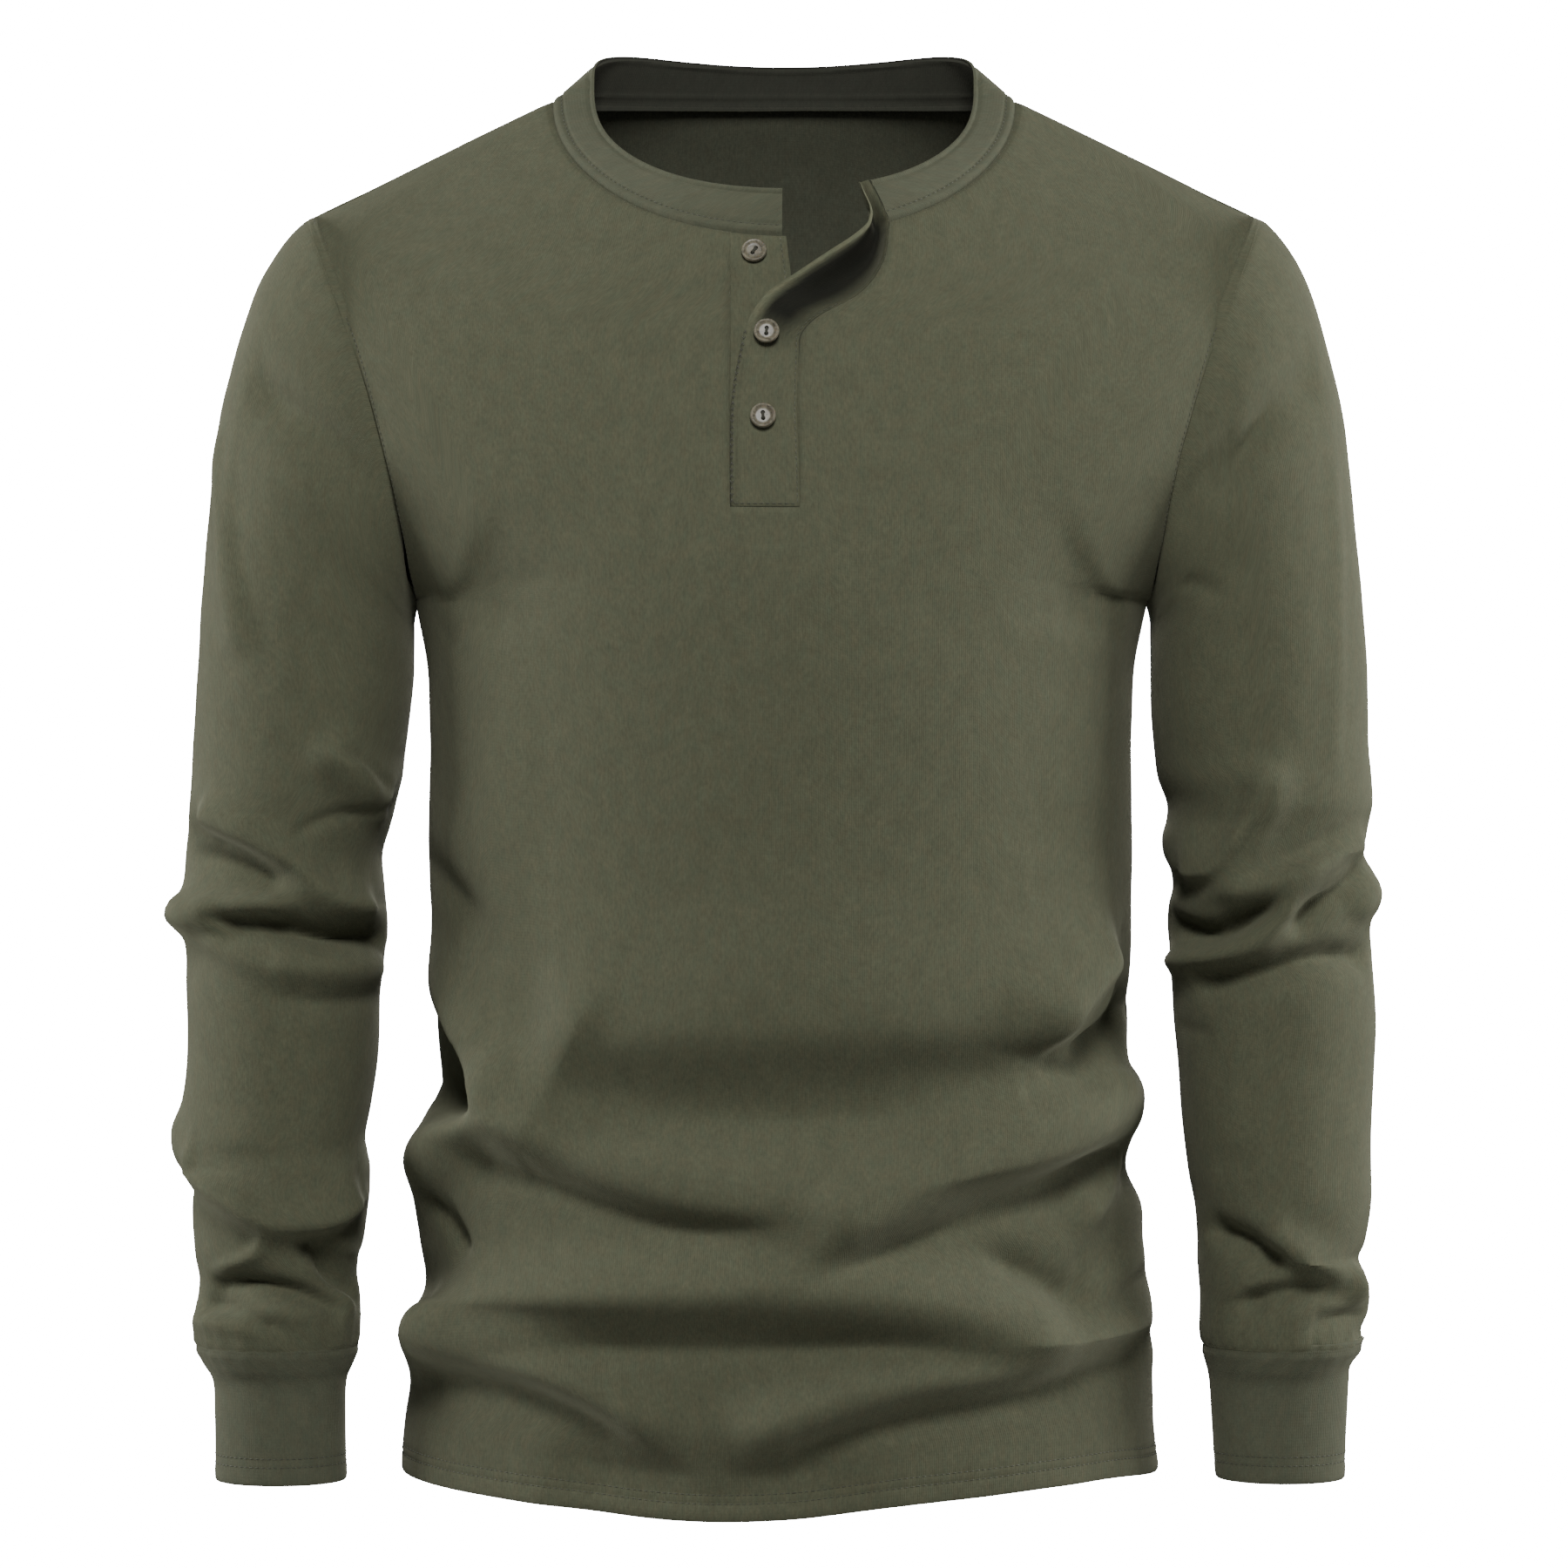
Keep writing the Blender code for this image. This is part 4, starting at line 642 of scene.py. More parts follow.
# Each ring of a sleeve or cuff goes from its end at the lower x, x0 and z0, to the one at the
# higher x. y is its middle from front to back, and it reaches as far as depth to either side.
sleeveRight = {
    "side": -1, "name": "sleeveRightCloth", "node": "sleeve_right",
    "rings": (
        ("x0", "z0", "x1", "z1", "y", "depth"),
        (-245.0, -61, -190.0, -259, 0, 68),
        (-254.5, -70, -190.5, -262, 0, 68),
        (-264.0, -83, -190.8, -264.5, 0, 68),
        (-273.5, -102, -191.0, -267, 0, 67),
        (-284.5, -137, -191.2, -270, 0, 66),
        (-290.7, -164, -191.2, -273, 1, 65),
        (-294.3, -191, -191.2, -278, 2, 64),
        (-298.0, -227, -191.2, -286, 2, 63),
        (-301.0, -263, -191.5, -299, 3, 62),
        (-303.0, -299, -193.3, -318, 4, 62),
        (-305.0, -331, -196.0, -337, 5, 61),
        (-306.0, -347, -197.5, -350, 5, 61),
        (-307.4, -362, -200.7, -362, 5, 60),
        (-308.7, -376, -204.3, -376, 6, 59),
        (-309.6, -390, -208.0, -390, 6, 58),
        (-310.0, -407, -207.0, -407, 6, 58),
        (-312.3, -416, -206.0, -416, 6, 59),
        (-311.4, -425, -205.0, -425, 6, 59),
        (-309.6, -434, -204.8, -434, 5, 58),
        (-308.7, -443, -207.0, -443, 5, 57),
        (-309.0, -460, -208.6, -460, 4, 56),
        (-308.5, -493, -209.5, -493, 1, 54),
        (-310.0, -515, -212.5, -515, -2, 52),
        (-310.8, -533, -215.5, -533, -5, 51),
        (-308.8, -542, -214.5, -542, -6, 50),
        (-303.0, -551, -213.0, -551, -8, 50),
        (-304.2, -569, -214.0, -569, -11, 48),
        (-303.0, -587, -216.3, -587, -13, 46),
        (-302.0, -596, -219.5, -596, -14, 44),
        (-300.0, -605, -220.0, -605, -16, 43),
        (-300.3, -614, -218.0, -614, -17, 42),
        (-302.0, -625, -217.0, -625, -18, 42),
        (-302.0, -640, -217.2, -640, -20, 40),
    ),
    "folds": (   # points in q and z
        ("cap crease", -7.5, 9, 12, (-57, -203), (-20, -192), (5, -176), (24, -164)),
        ("arm streak", 4.5, 7, 9, (-75, -217), (-54, -247), (-40, -275), (-27, -300)),
        ("inner drag", 7.5, 16, 9, (8, -331), (27, -344), (49, -360), (78, -368)),
        ("elbow dip", -7.5, 7, 10, (-84, -376), (-40, -384), (-8, -395), (12, -409)),
        ("elbow crest", 9, 12, 7, (-58, -366), (-14, -381), (10, -397), (30, -412), (68, -419)),
        ("elbow wedge", -12, 8, 11, (-40, -421), (0, -427), (42, -432), (92, -434)),
        ("elbow lip", 9, 8, 10, (-84, -419), (-50, -424), (-18, -436), (24, -446), (88, -446)),
        ("outer bulge", 6, 10, 9, (-110, -418), (-75, -416), (-13, -415), (16, -412)),
        ("low smile", 10, 13, 8, (-100, -520), (-76, -545), (-33, -562), (0, -574), (30, -574),
         (68, -560)),
        ("wrist dip", -9, 7, 8, (-58, -607), (-20, -605), (20, -611), (62, -624)),
        ("wrist branch", -9, 8, 6, (14, -582), (34, -590), (56, -604), (84, -618)),
        ("wrist roll", 6, 8, 9, (-85, -631), (0, -622), (80, -616)),
        ("wrist low dip", -7, 5, 5, (-66, -617), (-24, -619), (16, -630)),
        ("back of elbow", 9, 12, 10, (120, -405), (170, -415), (220, -402)),
        ("back dip", -9, 10, 10, (110, -424), (175, -436), (235, -424)),
        ("back wrist", 7.5, 10, 9, (120, -590), (180, -600), (240, -588)),
        ("back arm", -6, 12, 12, (130, -300), (175, -330), (215, -352)),
        ("back elbow line", -3.8, 5, 6, (118, -412), (165, -424), (228, -413)),
        ("back elbow branch", 2.6, 5, 5, (150, -392), (185, -384), (222, -372)),
        ("back elbow rim", 2.7, 4, 6, (130, -440), (180, -449), (232, -440)),
        ("back wrist line", -2.9, 4, 4, (122, -600), (176, -610), (236, -602)),
        ("back smile", 2.4, 5, 7, (112, -540), (170, -562), (230, -548)),
        ("back cap line", -2.6, 6, 7, (150, -120), (185, -160), (220, -200)),
        ("inner back line", -2.6, 5, 4, (240, -330), (222, -352), (196, -360)),
    ),
    "frontCreases": (   # points in the front view's x and z
        ("cap crease line", -4, 5, 7, (-271, -154), (-244, -168), (-220, -186), (-202, -203),
         (-191, -230), (-187, -261)),
        ("outer streak", 2, 4, 6, (-282, -173), (-281, -221), (-275, -261), (-266, -291)),
        ("inner drag crest", 3.4, 6, 4, (-238, -331), (-222, -344), (-209, -360)),
        ("inner drag dip", -2.5, 3, 3, (-229, -331), (-213, -344), (-202, -357)),
        ("elbow line", -3.4, 4, 5, (-299, -379), (-260, -393), (-242, -408)),
        ("elbow rim", 2.5, 4, 4, (-264, -382), (-244, -397), (-229, -412), (-207, -419)),
        ("elbow branch", -2.5, 4, 4, (-255, -384), (-233, -371), (-198, -364)),
        ("outer rim", 4, 5, 4, (-301, -417), (-264, -415), (-240, -412)),
        ("wedge", -4, 5, 7, (-279, -419), (-252, -425), (-226, -432), (-200, -434)),
        ("wedge rim", 3.1, 4, 4, (-279, -421), (-255, -432), (-233, -441), (-202, -441)),
        ("outer line", -5, 4, 6, (-303, -426), (-277, -433), (-250, -446)),
        ("under wedge", -2.5, 5, 6, (-264, -459), (-238, -463), (-207, -462)),
        ("smile rim", 3.6, 4, 5, (-301, -529), (-298, -547), (-277, -562), (-260, -573),
         (-233, -575), (-213, -562)),
        ("smile branch out", 4.5, 5, 4, (-260, -575), (-266, -589), (-293, -603)),
        ("smile branch in", 2, 4, 4, (-231, -575), (-220, -595), (-215, -621)),
        ("wrist line", -4, 4, 4, (-286, -606), (-251, -606), (-220, -621)),
        ("wrist line low", -2.5, 3, 3, (-290, -619), (-249, -630)),
        ("wrist rim", 1.7, 3, 3, (-297, -626), (-246, -632), (-216, -629)),
    ),
}
sleeveLeft = {
    "side": 1, "name": "sleeveLeftCloth", "node": "sleeve_left",
    "rings": (
        ("x0", "z0", "x1", "z1", "y", "depth"),
        (188.0, -259, 246.0, -61, 0, 68),
        (188.5, -262, 255.0, -70, 0, 68),
        (188.8, -264.5, 264.0, -83, 0, 68),
        (189.0, -267, 272.3, -102, 0, 67),
        (189.2, -270, 283.0, -137, 0, 66),
        (189.2, -273, 288.3, -164, 1, 65),
        (189.2, -278, 291.7, -191, 2, 64),
        (189.2, -286, 295.7, -227, 2, 63),
        (189.3, -299, 299.2, -263, 3, 62),
        (190.0, -318, 301.6, -299, 4, 62),
        (192.0, -337, 302.0, -331, 5, 61),
        (194.2, -350, 303.3, -347, 5, 61),
        (198.5, -362, 303.8, -362, 5, 60),
        (198.3, -371, 302.4, -371, 6, 59),
        (195.8, -380, 300.6, -380, 6, 58),
        (196.4, -389, 299.4, -389, 6, 58),
        (200.3, -398, 302.8, -398, 6, 59),
        (201.0, -407, 305.0, -407, 6, 60),
        (198.5, -416, 304.6, -416, 6, 59),
        (198.2, -425, 302.8, -425, 6, 58),
        (200.5, -443, 304.0, -443, 5, 57),
        (201.3, -470, 305.5, -470, 3, 55),
        (203.2, -497, 304.3, -497, 0, 53),
        (205.0, -524, 302.8, -524, -4, 52),
        (207.8, -551, 302.4, -551, -8, 50),
        (211.0, -569, 301.6, -569, -11, 48),
        (212.0, -587, 298.3, -587, -13, 45),
        (212.0, -596, 294.7, -596, -14, 43),
        (212.7, -605, 298.2, -605, -16, 43),
        (213.5, -614, 299.8, -614, -17, 43),
        (213.3, -623, 299.0, -623, -18, 42),
        (213.0, -632, 295.2, -632, -19, 41),
        (213.7, -640, 296.8, -640, -20, 40),
    ),
    "folds": (   # points in q and z
        ("cap crease", -7.5, 10, 10, (-40, -163), (-12, -172), (8, -186)),
        ("cap drag", -6, 9, 10, (-20, -182), (5, -188), (35, -196), (60, -201)),
        ("inner hook", 7.5, 14, 9, (-68, -396), (-31, -397), (-15, -384), (-5, -362), (2, -338)),
        ("elbow crest", 7.5, 8, 9, (-38, -412), (0, -404), (31, -395), (72, -381)),
        ("elbow wedge", -9, 8, 8, (-95, -420), (-45, -431), (-14, -422), (4, -410)),
        ("elbow lip", 10, 8, 9, (-90, -446), (-32, -440), (-5, -426), (14, -408)),
        ("outer dip", -10, 6, 8, (2, -432), (20, -414), (62, -393)),
        ("outer bulge", 7.5, 12, 12, (40, -420), (60, -412), (110, -408)),
        ("under elbow", -10, 7, 9, (-60, -455), (-6, -447), (35, -440), (72, -441)),
        ("wrist dip", -9, 7, 8, (-70, -577), (-27, -585), (8, -598)),
        ("wrist crest", 9, 10, 7, (-24, -576), (-4, -586), (28, -601), (70, -613)),
        ("wrist tuck", -8, 6, 7, (-42, -619), (0, -610), (26, -607), (56, -609)),
        ("wrist low dip", -5, 5, 5, (10, -628), (40, -624), (70, -622)),
        ("back of elbow", 9, 12, 10, (130, -398), (180, -412), (235, -404)),
        ("back dip", -9, 10, 10, (120, -420), (180, -432), (240, -422)),
        ("back wrist", 7.5, 9, 10, (125, -596), (180, -588), (235, -598)),
        ("back arm", -6, 12, 12, (140, -346), (185, -326), (225, -300)),
        ("back elbow line", -3.8, 6, 5, (128, -407), (180, -421), (236, -413)),
        ("back elbow branch", 2.6, 5, 5, (142, -372), (178, -388), (214, -391)),
        ("back elbow rim", 2.7, 5, 5, (126, -436), (176, -446), (232, -436)),
        ("back wrist line", -2.9, 4, 4, (124, -606), (180, -598), (236, -608)),
        ("back forearm", 2.1, 6, 7, (130, -520), (182, -541), (226, -530)),
        ("back cap line", -2.6, 7, 6, (140, -200), (176, -158), (208, -118)),
        ("inner back line", -2.6, 4, 5, (124, -352), (140, -362), (166, -366)),
    ),
    "frontCreases": (   # points in the front view's x and z
        ("cap nick", -3.1, 4, 5, (194, -223), (209, -203), (227, -188)),
        ("cap line", -3.1, 5, 5, (220, -217), (235, -186), (253, -155)),
        ("outer streak", 1.5, 5, 7, (279, -177), (282, -265), (279, -353)),
        ("underarm line", -2, 4, 4, (200, -252), (224, -261)),
        ("hook rim", 3.1, 5, 4, (196, -395), (216, -397), (229, -384), (238, -362), (242, -340)),
        ("hook dip", -2.7, 4, 4, (244, -366), (238, -379), (220, -406)),
        ("elbow rim", 2.7, 4, 4, (211, -412), (242, -404), (268, -395), (290, -382)),
        ("elbow dip", -2, 4, 4, (246, -395), (268, -385), (286, -373)),
        ("wedge", -4, 5, 6, (194, -423), (212, -430), (233, -422), (250, -409)),
        ("wedge rim", 2.7, 4, 4, (198, -443), (220, -439), (242, -423), (255, -408)),
        ("outer dip line", -2.7, 4, 4, (251, -430), (264, -412), (286, -393), (297, -401)),
        ("under elbow line", -2.7, 4, 5, (207, -450), (242, -443), (277, -437), (293, -441)),
        ("inner nick", -1.7, 4, 4, (202, -476), (220, -481)),
        ("forearm soft", -1.4, 6, 6, (233, -538), (220, -551)),
        ("wrist dip high", -3.1, 4, 4, (213, -580), (233, -586), (255, -597)),
        ("wrist rim", 2.5, 4, 4, (246, -582), (268, -599), (288, -610)),
        ("wrist dip low", -3.6, 4, 3, (224, -617), (255, -606), (282, -606)),
        ("wrist rim low", 2, 3, 3, (222, -615), (240, -604), (260, -599)),
        ("wrist nick", -2, 3, 3, (264, -621), (288, -622)),
    ),
}
sleeve = {"columns": 112, "rows": 204, "girthPerDegree": 1.0, "thickness": 1.0,
          "bowRings": 5, "gathers": 0.7, "gatherHeight": 18.0, "fadeLength": 17.0,
          "unevenness": 0.3, "armpitFullness": 1.2,
          "seams": (("low", 0, 1.8, -1.0), ("side", 0, 1.2, -0.5))}


def ringTube(rings, q, t):
    # A tube through the ring table: t counts rings from the first, q goes round.
    names, rows = rings[0], rings[1:]
    counted = (("t",) + names,) + tuple((k,) + tuple(row) for k, row in enumerate(rows))
    x0, z0, x1, z1, y, depth = (readColumn(counted, "t", key, t) for key in names)
    swing, out = np.sin(np.radians(q)), np.cos(np.radians(q))
    return np.stack([(x0 + x1) / 2 + (x1 - x0) / 2 * swing, y - depth * out,
                     (z0 + z1) / 2 + (z1 - z0) / 2 * swing], axis=-1), (z0 + z1) / 2


def ringPlaces(rings, rows):
    # Places along the rings that are even in length down the sleeve, and closer at both seams.
    values = np.array(rings[1:], dtype=float)
    outer, inner = values[:, 2:4], values[:, 0:2]
    if values[0, 3] < values[0, 1]:
        outer, inner = inner, outer
    path = outer * 0.6 + inner * 0.4
    run = np.concatenate([[0], np.cumsum(np.linalg.norm(np.diff(path, axis=0), axis=1))])
    even = np.append(linesBetween(0, run[-1], rows, True, True), run[-1])
    return np.interp(even, run, np.arange(len(run)))


def sleeveFoldPaths(part):
    # Front-view creases are looked up on the tube itself, all others are already in q and z.
    q, t = np.meshgrid(np.linspace(-90, 90, 121), np.linspace(0, len(part["rings"]) - 2, 400))
    tube, middle = ringTube(part["rings"], q, t)
    paths = [(smoothPath(path) * (sleeve["girthPerDegree"], 1), crest, left, right)
             for name, crest, left, right, *path in part["folds"]]
    for name, crest, left, right, *path in part["frontCreases"]:
        found = []
        for x, z in smoothPath(path):
            k = np.argmin((tube[..., 0] - x)**2 + (tube[..., 2] - z)**2)
            found.append((q.flat[k] * sleeve["girthPerDegree"], middle.flat[k]))
        paths.append((np.array(found), crest, left, right))
    return paths


def gathers(q):
    # Small uneven gathers, where the sleeve is eased into the narrower cuff.
    return np.sin(q * 0.31 + 1.7 * np.sin(q * 0.11)) * np.sin(q * 0.173 + 0.8)


def sleevePoints(part):
    side, last = part["side"], len(part["rings"]) - 2
    inner = -90.0 * side
    ring = ringPlaces(part["rings"], sleeve["rows"])[::-1, None]
    q = np.linspace(inner - 360, inner, sleeve["columns"] + 1)[None, :]
    ring, q = ring + 0 * q, q + 0 * ring
    points, middle = ringTube(part["rings"], q, ring)
    swing, facing = np.sin(np.radians(q)), np.cos(np.radians(q))
    bow = np.where(facing > 0, body["bow"][side], body["backBow"]) * facing**2
    points[..., 0] -= side * bow * rise(ring, sleeve["bowRings"], 0)
    relief = roundRelief(q, middle, sleeveFoldPaths(part), sleeve["girthPerDegree"],
                         sleeve["fadeLength"])
    relief *= rise(ring, 0, 4) * rise(ring, last, last - 1.5) * (1 - 0.5 * np.abs(swing)**8)
    ways = edgeWays(points)
    low, top = ways["low"], ways["top"]
    relief += unevenness(points, sleeve["unevenness"]) * rise(np.minimum(low, top), 0, 25)
    # at the armpit the sleeve stays full, so that no hole shows beside the body
    pit = rise(-side * swing, 0.93, 1)
    relief += sleeve["armpitFullness"] * pit * dent(top, 0, 7) - 0.9 * (1 - pit) * dent(top, 0, 1.6)
    eased = dent(low, 0, sleeve["gatherHeight"]) * rise(low, 0, 2)
    relief += pressedLines(ways, sleeve["seams"]) + sleeve["gathers"] * gathers(q) * eased
    return points + gridNormals(points, tube=True) * relief[..., None]


cuff = {
    "columns": 112, "rows": 34, "thickness": 1.9, "stitches": (9.7, 14.1), "stitchDip": 0.35,
    "swell": 0.25, "unevenness": 0.18, "gathers": 0.5, "gatherHeight": 10.0,
    "right": (
        ("x0", "z0", "x1", "z1", "y", "depth"),
        (-302.0, -640.8, -217.2, -640.8, -20, 40),
        (-297.3, -650, -221.0, -650, -20, 35),
        (-292.5, -659, -224.2, -659, -20, 30),
        (-291.6, -677, -224.8, -677, -20, 29),
        (-291.2, -709, -224.2, -709, -20, 29),
    ),
    "left": (
        ("x0", "z0", "x1", "z1", "y", "depth"),
        (213.7, -640.8, 296.8, -640.8, -20, 40),
        (216.2, -650, 290.3, -650, -20, 35),
        (217.9, -659, 289.3, -659, -20, 30),
        (219.0, -677, 288.4, -677, -20, 29),
        (221.3, -708, 287.2, -708, -20, 29),
    ),
}


def cuffPoints(rings, side):
    inner, last = -90.0 * side, len(rings) - 2
    close = np.array([0, 0.03, 0.09, 0.2])   # rings from an edge
    t = last - np.concatenate([close, np.linspace(0.3, last - 0.3, cuff["rows"]),
                               last - close[::-1] * 0.8])[:, None]
    q = np.linspace(inner - 360, inner, cuff["columns"] + 1)[None, :] + 0 * t
    points, middle = ringTube(rings, q, t + 0 * q)
    ways = edgeWays(points)
    low, top = ways["low"], ways["top"]
    relief = cuff["swell"] * rise(low, 0, 2) * rise(low, 17, 14) - 0.6 * rise(low, 0.8, 0)
    relief += unevenness(points, cuff["unevenness"]) * rise(low, 0, 8) * rise(top, 0, 8)
    relief += cuff["gathers"] * gathers(q) * dent(top, 0, cuff["gatherHeight"]) * rise(top, 0, 2)
    relief -= 1.0 * dent(top, 0, 1.6)
    for place in cuff["stitches"]:
        relief -= cuff["stitchDip"] * dent(low, place, 1.0)
    return points + gridNormals(points, tube=True) * relief[..., None]


band = {
    "topHalfWidth": 98.0, "topWiden": 3.0, "topFront": -80.0, "topBack": 73.0,
    "leftEnd": 53.0, "rightEnd": -1.0,       # x of its two front ends
    "thickness": 1.9, "roundEdge": 0.6,
    "feather": 8.0,                          # height over which it is pressed thin at its seam
    "stitchAbove": 5.7, "endStrip": 3.2, "rows": 26, "columns": 236, "unevenness": 0.16,
    "seams": (("low", 0, 1.5, -1.2), ("low", 5.7, 1.0, -0.7), ("top", 0, 0.5, -0.6),
              ("top", 1.1, 1.3, 0.5), ("top", 2.9, 0.9, -0.8)),
}


def bandSurface(q, h):
    # h goes from the neck seam, 0, to the top edge, 1.
    swing, out = np.sin(np.radians(q)), np.cos(np.radians(q))
    front, back = np.clip(out, 0, 1), np.clip(-out, 0, 1)
    neck = body["neckHalfWidth"]
    low = np.stack([neck * swing, -body["frontDepth"] * front + body["backDepth"] * back,
                    -body["frontDrop"] * front + body["backRise"] * back], axis=-1)
    top = np.stack([(band["topHalfWidth"] + band["topWiden"] * back) * swing,
                    band["topFront"] * front + band["topBack"] * back,
                    9 - 64 * front**0.8 + 24 * np.sqrt(back) - 5 * back**2
                    + 15 * back * (1 - back)], axis=-1)
    bulge = np.stack([0.04 * neck * swing, -3.0 * out, 0 * q], axis=-1)
    return low + (top - low) * h[..., None] + bulge * (h * (1 - h))[..., None]


def bandPoints():
    start = np.degrees(np.arcsin(band["leftEnd"] / body["neckHalfWidth"]))
    end = 360 + np.degrees(np.arcsin(band["rightEnd"] / body["neckHalfWidth"]))
    q = np.append(linesBetween(start, end, band["columns"], True, True), end)[None, :]
    h = np.append(linesBetween(0, 1, band["rows"], True, True), 1.0)[:, None]
    points = bandSurface(q + 0 * h, h + 0 * q)
    ways = edgeWays(points)
    relief = unevenness(points, band["unevenness"]) * rise(ways["low"], 0, 5)
    relief += pressedLines(ways, band["seams"])
    relief -= 0.4 * dent(ways["end"], band["endStrip"], 0.8) * rise(ways["top"], 0, 3)
    return points + gridNormals(points) * relief[..., None]


placket = {
    "foot": -216.6, "thickness": 1.5, "roundEdge": 0.4,
    "unevenness": {"upper": 0.14, "under": 0.12},
    "underFoot": -199.0, "underDives": -94.0, "hiddenDepth": 2.0,
    "footStitch": 1.4, "seamStitch": 1.2, "sewnShare": 0.62,    # sewn down that far up
    "roughStitches": ((0.5, 0.6), (1.1, -0.5)), "roughShare": 0.5,   # place and skew of two rows
    "rows": 130, "columns": 22, "underRows": 90, "underColumns": 18,
    "underEdge": (("z", "x"), (-199.0, 4.0), (-104, 4.0), (-80.5, 1.2)),
    "edgeStrip": 4.0,             # width of the turned strip along the under placket's free edge
    "upperSeams": (("end", 0, 1.2, -0.5), ("start", 0, 0.5, -0.5), ("low", 0, 1.0, -0.5)),
    "turnedSeams": (("start", 1.9, 1.6, 0.7), ("start", 4.4, 1.0, -0.5)),
    "underSeams": (("top", 0, 1.5, -0.8), ("end", 4.0, 0.8, -0.45), ("end", 0, 0.5, -0.4)),
    "upper": (
        ("zeta", "freeX", "freeZ", "dip", "proud", "gap"),
        (-198.6, -26.2, -216.6, 0.0, 0.7, 0.3),
        (-146.0, -26.2, -180.0, 0.0, 1.2, 0.3),
        (-121.0, -25.6, -162.0, 0.0, 1.4, 0.3),
        (-96.0, -22.5, -143.0, 0.2, 2.0, 0.4),
        (-71.0, -16.0, -121.0, 0.5, 3.6, 1.3),
        (-59.0, -8.0, -110.5, 1.5, 4.6, 1.8),
        (-47.0, 6.0, -101.0, 8.0, 5.0, 2.6),
        (-35.0, 22.0, -90.0, 12.0, 5.0, 2.6),
        (-23.5, 34.5, -81.5, 13.5, 4.5, 2.6),
        (-12.0, 42.0, -74.0, 12.0, 3.5, 2.6),
        (0.0, 45.5, -65.5, 7.5, 2.5, 2.6),
        (12.0, 45.8, -57.5, 4.0, 1.5, 2.6),
        (24.0, 46.2, -51.5, 2.0, 1.0, 2.6),
    ),
}


def frontAt(x, z):
    # The plain front surface at places in the front view, and above the neck seam the neckband.
    x, z = np.broadcast_arrays(np.asarray(x, dtype=float), np.asarray(z, dtype=float))
    q = np.degrees(np.arcsin(np.clip(x / body["neckHalfWidth"], -1, 1)))
    low, top = bandSurface(q, np.zeros(q.shape)), bandSurface(q, np.ones(q.shape))
    onBand = bandSurface(q, (z - low[..., 2]) / (top[..., 2] - low[..., 2]))
    zeta = np.minimum(z, 0.0)
    for _ in range(24):
        point = bodySurface(sAt(x, zeta), zeta, "front")
        zeta = np.minimum(zeta + (z - point[..., 2]) * 0.85, 0.0)
    onPanel = bodySurface(sAt(x, zeta), zeta, "front")
    return np.where((z > low[..., 2])[..., None], onBand, onPanel)


def sAt(x, zeta):
    middle, half, depth, turn = bodySection(zeta, "front")
    return np.arcsin(np.clip((x - middle * (1 - tiltAt(zeta))) * np.sin(turn) / half, -1, 1)) / turn


def outOfFront(x, z, step=0.5):
    across = frontAt(x + step, z) - frontAt(x - step, z)
    return unit(np.cross(across, frontAt(x, z + step) - frontAt(x, z - step)))


def placketSeam():
    # The upper placket's sewn edge: up the slit edge of the front, then up the neckband's end.
    f = np.linspace(body["slitRow"] / body["topRows"], 1, 60)
    zeta = -body["underarmDrop"] * (1 - middleRise(f))
    edge = []
    for z, share in zip(zeta, f):
        x = float(readColumn(body["slitEdge"], "zeta", "x", np.array([z]))[0])
        s, down = spreadUp(np.array([columnAt(x, z, share)]), share, "front")
        edge.append(bodySurface(s, down, "front")[0])
    q = np.full(12, np.degrees(np.arcsin(band["leftEnd"] / body["neckHalfWidth"])))
    up = bandSurface(q, np.linspace(1 / 12, 1, 12))
    points = np.concatenate([edge, up])
    zeta = np.concatenate([zeta, np.linspace(2, 24, 12)])
    even = np.linspace(0, len(points) - 1, placket["rows"] + 1)
    whole = np.arange(len(points))
    return (np.stack([np.interp(even, whole, points[:, k]) for k in range(3)], axis=-1),
            np.interp(even, whole, zeta))


def upperPlacketPoints():
    seam, zetas = placketSeam()
    freeX, freeZ, dip, proud, gap = (
        readColumn(placket["upper"], "zeta", key, zetas)[:, None]
        for key in ("freeX", "freeZ", "dip", "proud", "gap"))
    zetas = zetas[:, None]
    seamX = seam[:, :1] - np.minimum(gap - 0.3, 1.2)
    seamZ = np.maximum(seam[:, 2:], placket["foot"])
    out = outOfFront((seamX + freeX) / 2, (seamZ + freeZ) / 2)
    shift = (seam - frontAt(seam[:, 0], seam[:, 2]))[:, None]
    k = np.append(linesBetween(0, 1, placket["columns"], True, True), 1.0)[None, :]
    stand = 4 * k * (1 - k) * -dip + proud * (1 - k)**2
    points = (frontAt(freeX + (seamX - freeX) * k, freeZ + (seamZ - freeZ) * k)
              + shift * (k**2)[..., None] + out * stand[..., None])
    ways = edgeWays(points)
    turned, free = rise(zetas, -90, -65), ways["start"]
    relief = pressedLines(ways, placket["upperSeams"])
    relief += unevenness(points, placket["unevenness"]["upper"])
    relief += turned * pressedLines(ways, placket["turnedSeams"])
    # painted shade: shade is 1 deep in the hollow behind the turned strip, and below 0 on the strip
    # itself, a painted highlight
    hollow = rise(free, 3.4, 6.6) * (1 - 0.75 * rise(k, 0.62, 1))
    shade = turned * (hollow * np.maximum(rise(zetas, 8, -4), 0.35) - 0.5 * dent(free, 1.7, 1.5))
    # below the turn, an uneven painted shadow line along the free edge
    rough = 0.75 + 0.25 * np.sin(zetas * 2.1 + 1.6 * np.sin(zetas * 0.37))
    shade += (1 - turned) * rough * (0.55 * dent(free, 0.2, 0.9) + 0.25 * dent(free, 3.4, 0.8))
    return points + gridNormals(points) * relief[..., None], shade


